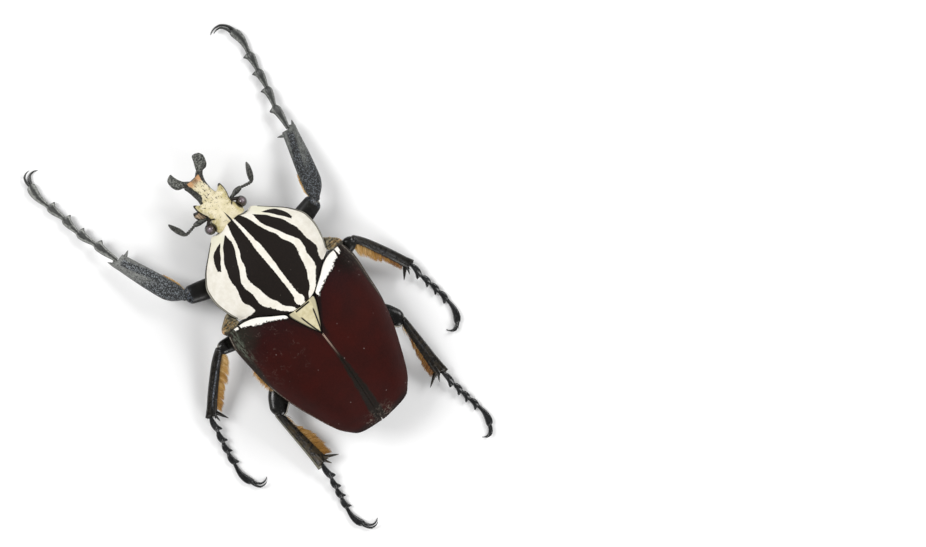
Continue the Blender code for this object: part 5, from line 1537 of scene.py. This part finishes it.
class Foot:
    """The path of a foot's joints, from the shin's end down to the floor."""

    def __init__(self, leg):
        self.leg = leg
        self.width = leg.size["foot_width"] * MM
        steps = leg.size["foot"]
        heights = leg.size["foot_height"]
        place = leg.ankle + leg.shin_axis * 0.45 * MM - leg.inner * 0.35 * MM
        self.spans = []
        for k, reach in enumerate(steps):
            end = place + heading(leg.stance["foot"][k], 0.0, leg.sign) * reach * MM
            end.z = heights[k + 1] * MM
            if k == 0:
                place.z = heights[0] * MM
            axis = (end - place).normalized()
            level = axis.cross(UP).normalized()
            inner = level if level.x * leg.sign < 0 else -level
            self.spans.append((place.copy(), end.copy(), axis, inner))
            place = end
        total = sum(steps)
        self.ends = []
        run = 0.0
        for reach in steps:
            self.ends.append((run / total, (run + reach) / total))
            run += reach

    def joint(self, share):
        """Which joint a share of the foot's length lies in, and how far along it."""
        k = min(sum(share > far for _, far in self.ends), 4)
        near, far = self.ends[k]
        return k, min(max((share - near) / (far - near), 0.0), 1.0)

    def hollow(self, share):
        """How deep a point lies in the hollow at a joint's end, where the next one leaves."""
        k, t = self.joint(share)
        return ramp(t, 0.45, 0.8) * (k < 4)

    def form(self, share, turn, out):
        """One point of the foot's skin."""
        k, t = self.joint(share)
        start, end, axis, inner = self.spans[k]
        rise = UP - axis * axis.z
        centre = start.lerp(end, t)
        c, s = oval(turn, 0.85)
        outer = foot_outer[self.leg.pair](t * MM)
        girth = outer + (foot_inner(t * MM) - outer) * (0.5 + 0.5 * c)
        if k == 4:
            girth = toe_girth(t * MM)
            centre -= inner * self.leg.size["foot_bow"] * MM * math.sin(math.pi * t)
        girth *= (0.8 if share < 0.004 or share > 0.996 else 1.0) / MM
        sunk = 0.2 * ramp(girth, 0.5, 0.8) + 0.25 * ramp(t, 0.6, 0.85) * (k < 4)
        groove = 1.0 - sunk * hump(c, 0.1, 0.3) * (s > 0)
        point = centre + (inner * c + rise * 0.85 * s * groove) * self.width * girth * out
        if k < 4:
            drawn = max(c, 0.0) ** 6 * out * MM
            if self.leg.pair == "fore":
                point += (inner * 0.8 + axis * 0.1) * drawn * hump(t, 0.87, 0.07)
            else:
                point += (inner * 0.55 + axis * 0.35) * drawn * ramp(t, 0.7, 0.93)
        point.z = max(point.z, FLOOR_GAP)
        return point

    def claw(self, turn, reach, shift, tilt):
        """A hooked claw that curls inward, thick at its root and sharp at its tip."""
        _, toe, axis, inner = self.spans[-1]
        spin = Matrix.Rotation(math.radians(turn), 3, axis.cross(inner))
        ahead = spin @ axis
        curl = (spin @ inner + Vector((0.0, 0.0, tilt))).normalized()
        radius = reach * 0.65 * MM
        root = toe + (inner * shift + UP * math.copysign(0.2, tilt)) * MM
        stout = self.leg.size["claw_girth"] * MM

        def form(share, turn, out):
            angle = CLAW_SWEEP * share
            centre = root + ahead * radius * math.sin(angle) + curl * radius * (1 - math.cos(angle))
            centre -= ahead * 0.9 * MM * (1 - min(2 * share, 1.0))
            way = ahead * math.cos(angle) + curl * math.sin(angle)
            level = way.cross(UP).normalized()
            girth = stout * (1.0 - share ** 1.7) ** 0.8 + 0.03 * MM
            centre.z = max(centre.z, FLOOR_GAP + girth)
            rise = level.cross(way)
            return centre + (level * math.cos(turn) * 0.9 + rise * math.sin(turn) * 1.1) * girth * out

        return limb("claw", form, sides=16, rings=44)

    def bristles(self):
        """Stiff bristles under the end of each joint and between the claws."""
        pieces = []
        for k, (_, end, axis, inner) in enumerate(self.spans):
            if k == 4:
                root = end + axis * 0.2 * MM
                for lean in (0.35, 0.75):
                    pieces.append(spine(root, (axis + inner * lean).normalized(), 1.7 * MM, 0.13 * MM,
                                        sides=5))
                continue
            fore = self.leg.pair == "fore"
            for lean, side, length, girth in ((0.9, 0.75, 1.0, 0.26), (0.45, 0.5, 0.95, 0.24)):
                root = end - axis * 0.7 * MM + (inner * side - UP * 0.3) * self.width
                way = (axis + inner * lean - UP * 0.1).normalized()
                small = 0.5 if fore else 1.0
                pieces.append(spine(root, way, length * small * MM, girth * small * MM, sides=8))
        return pieces


fore_foot = Finish("fore_foot", specular_ior_level=0.45)
spot = fore_foot.place()
patches = fore_foot.cloud(spot, 0.9, 4.0, 0.6)
fine = fore_foot.cloud(spot, 0.6, 3.0, 0.8)
back = fore_foot.mark("back")
hollow = fore_foot.mark("hollow")
# painted shade in the furrow along the back and in the hollow at each joint's end
furrow_shade = (back + patches * 0.3 + hollow * 0.1).step(1.02, 1.14)
body = fore_foot.mix(patches.step(0.3, 0.7), "565855", "878984")
x, _, _ = fore_foot.parts(spot)
# painted light: the left foot is coloured lighter than the right
body = fore_foot.mix(x.step(-5.0, 5.0, 0.0, 0.4), body, "aeafa9")
body = fore_foot.mix(fine.step(0.38, 0.52, 0.7, 0.0), body, "242525")
# painted shade on the sides and underside, below the lighter back
body = fore_foot.mix(back.step(0.62, 0.25, 0.0, 0.9), body, "232423")
fore_foot.colour(fore_foot.mix(furrow_shade * 0.85, body, "1c1d1d"))
fore_foot.gloss(0.36)
fore_foot.relief(fine, 0.07, 0.7)

foot_black = Finish("foot_black", specular_ior_level=0.35, coat_weight=0.3, coat_roughness=0.1)
spot = foot_black.place()
patches = foot_black.cloud(spot, 0.9, 4.0, 0.6)
fine = foot_black.grains(spot, 0.3)
foot_black.colour(foot_black.mix(patches.step(0.35, 0.75), "0d0e0f", "1f2123"))
foot_black.gloss(patches.step(0.3, 0.7, 0.2, 0.34))
foot_black.relief(fine, 0.04, 0.6)

for leg in legs:
    path = Foot(leg)
    foot = limb(leg.name("foot"), path.form, sides=28, rings=230,
                marks=[("back", lambda share, turn: math.sin(turn)),
                       ("hollow", lambda share, turn: path.hollow(share))])
    pieces = [foot]
    for claw, tilt in zip(leg.stance["claws"], (-0.1, 0.2)):
        pieces.append(path.claw(*claw, tilt))
    pieces += path.bristles()
    foot = joined(leg.name("foot"), pieces)
    if leg.pair == "fore":
        dress(foot, fore_foot, "grey_black_shell", leg.name("tarsus"))
    else:
        dress(foot, foot_black, "black_shell", leg.name("tarsus"))

# ---- Golden fringes ----------------------------------------------------------------------------
# Dense rows of stiff golden hairs along the inner edge of the middle and hind shins, a short row at the
# knee of each fore shin, and softer tan hair on the breast's flanks. Each hair grows from the shell.
chance = random.Random(11)


def hair(root, tip, bulge, girth, place, shade):
    """A hair from its root to its tip that first stands off along the bulge and then bends over."""
    path = []
    for k in range(5):
        spot = root.lerp(tip, k / 4) + bulge * math.sin(math.pi * k / 4)
        spot.z = max(spot.z, FLOOR_GAP * 2)
        path.append(spot)
    return path, girth, place, shade


def hair_coat(name, hairs):
    """One mesh of many three-sided hairs that taper to a point."""
    verts = []
    faces = []
    shade = []
    rise_share = []
    flat = []
    for path, girth, (u, v), own in hairs:
        first = len(verts)
        way = (path[-1] - path[0]).normalized()
        level = way.orthogonal().normalized()
        across = way.cross(level)
        last = len(path) - 1
        for k, point in enumerate(path[:-1]):
            wide = girth * (1.0 - 0.7 * (k / last) ** 1.5)
            for side in range(3):
                turn = 2 * math.pi * side / 3
                verts.append(point + (level * math.cos(turn) + across * math.sin(turn)) * wide)
                flat.append((u + 0.0015 * math.cos(turn), v + 0.003 * k / last - 0.0015))
        verts.append(path[-1])
        flat.append((u, v + 0.0015))
        faces.append((first, first + 2, first + 1))
        for k in range(last - 1):
            for side in range(3):
                a = first + 3 * k + side
                b = first + 3 * k + (side + 1) % 3
                faces.append((a, b, b + 3, a + 3))
        for side in range(3):
            a = first + 3 * (last - 1)
            faces.append((a + side, a + (side + 1) % 3, first + 3 * last))
        shade += [own] * (3 * last + 1)
        rise_share += [k / last for k in range(last) for _ in range(3)] + [1.0]
    mesh = bpy.data.meshes.new(name)
    mesh.from_pydata(verts, [], faces)
    for mark, values in (("shade", shade), ("rise", rise_share)):
        mesh.attributes.new(mark, "FLOAT", "POINT").data.foreach_set("value", values)
    unwrapped = mesh.uv_layers.new(name="OFBake")
    for loop in mesh.loops:
        unwrapped.data[loop.index].uv = flat[loop.vertex_index]
    coat = bpy.data.objects.new(name, mesh)
    bpy.context.scene.collection.objects.link(coat)
    return smooth_skin(coat, 80.0)


# Along the shin, by pair: the fringe's depth, its span, its locks, the hairs in each and their girth.
FRINGES = {
    "fore": ([(0.0, 0.35), (0.12, 0.75), (0.3, 0.65), (0.42, 0.3)], (0.06, 0.37), 22, 20, 0.05),
    "mid": ([(0.03, 2.4), (0.12, 3.3), (0.3, 3.6), (0.45, 3.3), (0.58, 2.6), (0.9, 2.4)], (0.04, 0.88),
            23, 44, 0.065),
    "hind": ([(0.3, 1.0), (0.42, 2.9), (0.6, 3.4), (0.8, 3.2), (0.95, 2.4)], (0.34, 0.93), 18, 48, 0.065),
}
LOOSE_HAIRS = 46
FLANK_HAIRS = 900
FLANK_MIDDLE = 5.8
WEDGE_HAIRS = 44
# how full the fringe is left at its near and far end, where it is worn
WORN = {("mid", "right"): (1.0, 0.6), ("hind", "right"): (0.5, 0.7)}

fringe_gold = Finish("fringe_gold", specular_ior_level=0.5)
shade = fringe_gold.mark("shade")
risen = fringe_gold.mark("rise")
body = fringe_gold.mix(shade, "7a4a1b", "dbab5c")
body = fringe_gold.mix(shade.step(0.88, 1.0), body, "eccd92")
body = fringe_gold.mix(risen.step(0.0, 0.35, 0.5, 0.0), body, "4a2a10")
fringe_gold.colour(body)
fringe_gold.gloss(0.4)

for leg in legs:
    stations, (near, far), locks, count, girth = FRINGES[leg.pair]
    across, _ = leg.girth("shin")
    shift = profile(leg.size["shin_shift"])
    depth = profile(stations)
    length = leg.size["shin"] * MM
    hairs = []
    worn = WORN.get((leg.pair, leg.side), (1.0, 1.0))
    for lock in range(locks):
        share = near + (far - near) * (lock + chance.uniform(0.2, 0.8)) / locks
        full = worn[0] + (worn[1] - worn[0]) * (share - near) / (far - near)
        reach = (depth(share * MM) * full + 0.3 * MM) * chance.uniform(0.88, 1.1)
        edge = across(share * MM) - shift(share * MM) - 0.35 * MM
        middle = leg.knee + leg.shin_axis * length * share + leg.inner * edge
        lean = chance.uniform(0.6, 0.95)
        level = chance.uniform(-0.45, 0.45)
        tip = middle + (leg.inner + leg.shin_axis * lean).normalized() * reach * 1.12 + UP * level * MM
        warm = 0.95 * full - 0.55 * (share - near) / (far - near) + chance.uniform(-0.12, 0.12)
        warm += 0.4 if leg.pair == "fore" else 0.0
        for _ in range(round(count * full)):
            along = chance.uniform(-1.0, 1.0)
            up = chance.uniform(-0.8, 0.8)
            root = middle + leg.shin_axis * along * 0.75 * MM + UP * up * 0.75 * MM
            root -= leg.inner * 0.35 * up * up * MM
            end = root.lerp(tip + leg.shin_axis * along * 0.5 * MM, chance.uniform(0.62, 1.0))
            strayed = leg.shin_axis * chance.gauss(0.0, 0.16)
            strayed += UP * (chance.gauss(0.0, 0.12) + 0.1 * up)
            end += strayed * MM
            bulge = (leg.inner - leg.shin_axis * 0.7) * reach * chance.uniform(0.06, 0.14)
            tint = min(max(warm + chance.uniform(-0.4, 0.36), 0.0), 1.0)
            place = (0.05 + 0.9 * share + 0.03 * along, 0.5 + 0.4 * up)
            hairs.append(hair(root, end, bulge, girth * MM, place, tint))
    # long loose hairs that lie along a hind shin below the knee
    for _ in range(LOOSE_HAIRS if leg.pair == "hind" else 0):
        share = chance.uniform(0.03, 0.42)
        root = leg.knee + leg.shin_axis * length * share + leg.inner * (across(share * MM) - 0.3 * MM)
        root.z += chance.uniform(-0.6, 0.6) * MM
        way = leg.shin_axis + leg.inner * chance.uniform(0.15, 0.45) + UP * chance.uniform(-0.1, 0.1)
        end = root + way.normalized() * chance.uniform(2.0, 4.2) * MM
        place = (0.05 + 0.9 * share, 0.5)
        hairs.append(hair(root, end, leg.inner * 0.25 * MM, 0.05 * MM, place, chance.choice((0.0, 0.95))))
    dress(hair_coat(leg.name("fringe"), hairs), fringe_gold, "tan_wedge")

# soft tan pile on the breast's flanks and on the shoulder wedges, which lies back towards the tail
for name, side in SIDES:
    hairs = []
    for _ in range(FLANK_HAIRS):
        y = min(max(chance.gauss(FLANK_MIDDLE, 2.3), -1.0), 11.5) * MM
        high = min(abs(chance.gauss(0.0, 0.4)), 1.1)
        x = elytra_width(y) - (1.75 + 0.5 * high) * MM
        root = Vector((side * x, y, 12.6 * MM - 3.8 * high * MM))
        way = Vector((side * chance.uniform(0.9, 1.3), chance.uniform(0.4, 1.0), chance.uniform(-0.4, 0.05)))
        reach = chance.uniform(2.4, 3.7) * (1.0 - 0.65 * min(high, 1.0)) * (0.8 + 0.2 * side) * MM
        reach *= 1.0 - 0.6 * ramp(abs(y - FLANK_MIDDLE * MM), 2.5 * MM, 6.0 * MM)
        place = (0.05 + 0.9 * (y / MM + 8.0) / 21.0, 0.1 + 0.72 * high)
        bulge = Vector((side * 0.12 * reach, 0.0, 0.03 * reach))
        tint = max(chance.uniform(0.3, 1.0) - 0.55 * high, 0.0)
        hairs.append(hair(root, root + way.normalized() * reach, bulge, 0.05 * MM, place, tint))
    for _ in range(WEDGE_HAIRS):
        x = chance.uniform(17.9, 21.4)
        y = -11.5 - chance.random() * min((x - WEDGE_INNER) * 1.6, (22.2 - x) * 1.1)
        root = Vector((side * x, y, 17.8 - WEDGE_SLOPE * (x - WEDGE_INNER))) * MM
        way = Vector((side * chance.uniform(0.3, 1.0), chance.uniform(0.1, 0.7), 0.05))
        reach = chance.uniform(0.5, 1.0) * MM
        place = (0.05 + 0.2 * (x - WEDGE_INNER), 0.95)
        hairs.append(hair(root, root + way.normalized() * reach, UP * 0.12 * reach, 0.04 * MM, place,
                          chance.uniform(0.7, 1.0)))
    dress(hair_coat("flank_pile_" + name, hairs), fringe_gold, "tan_wedge")
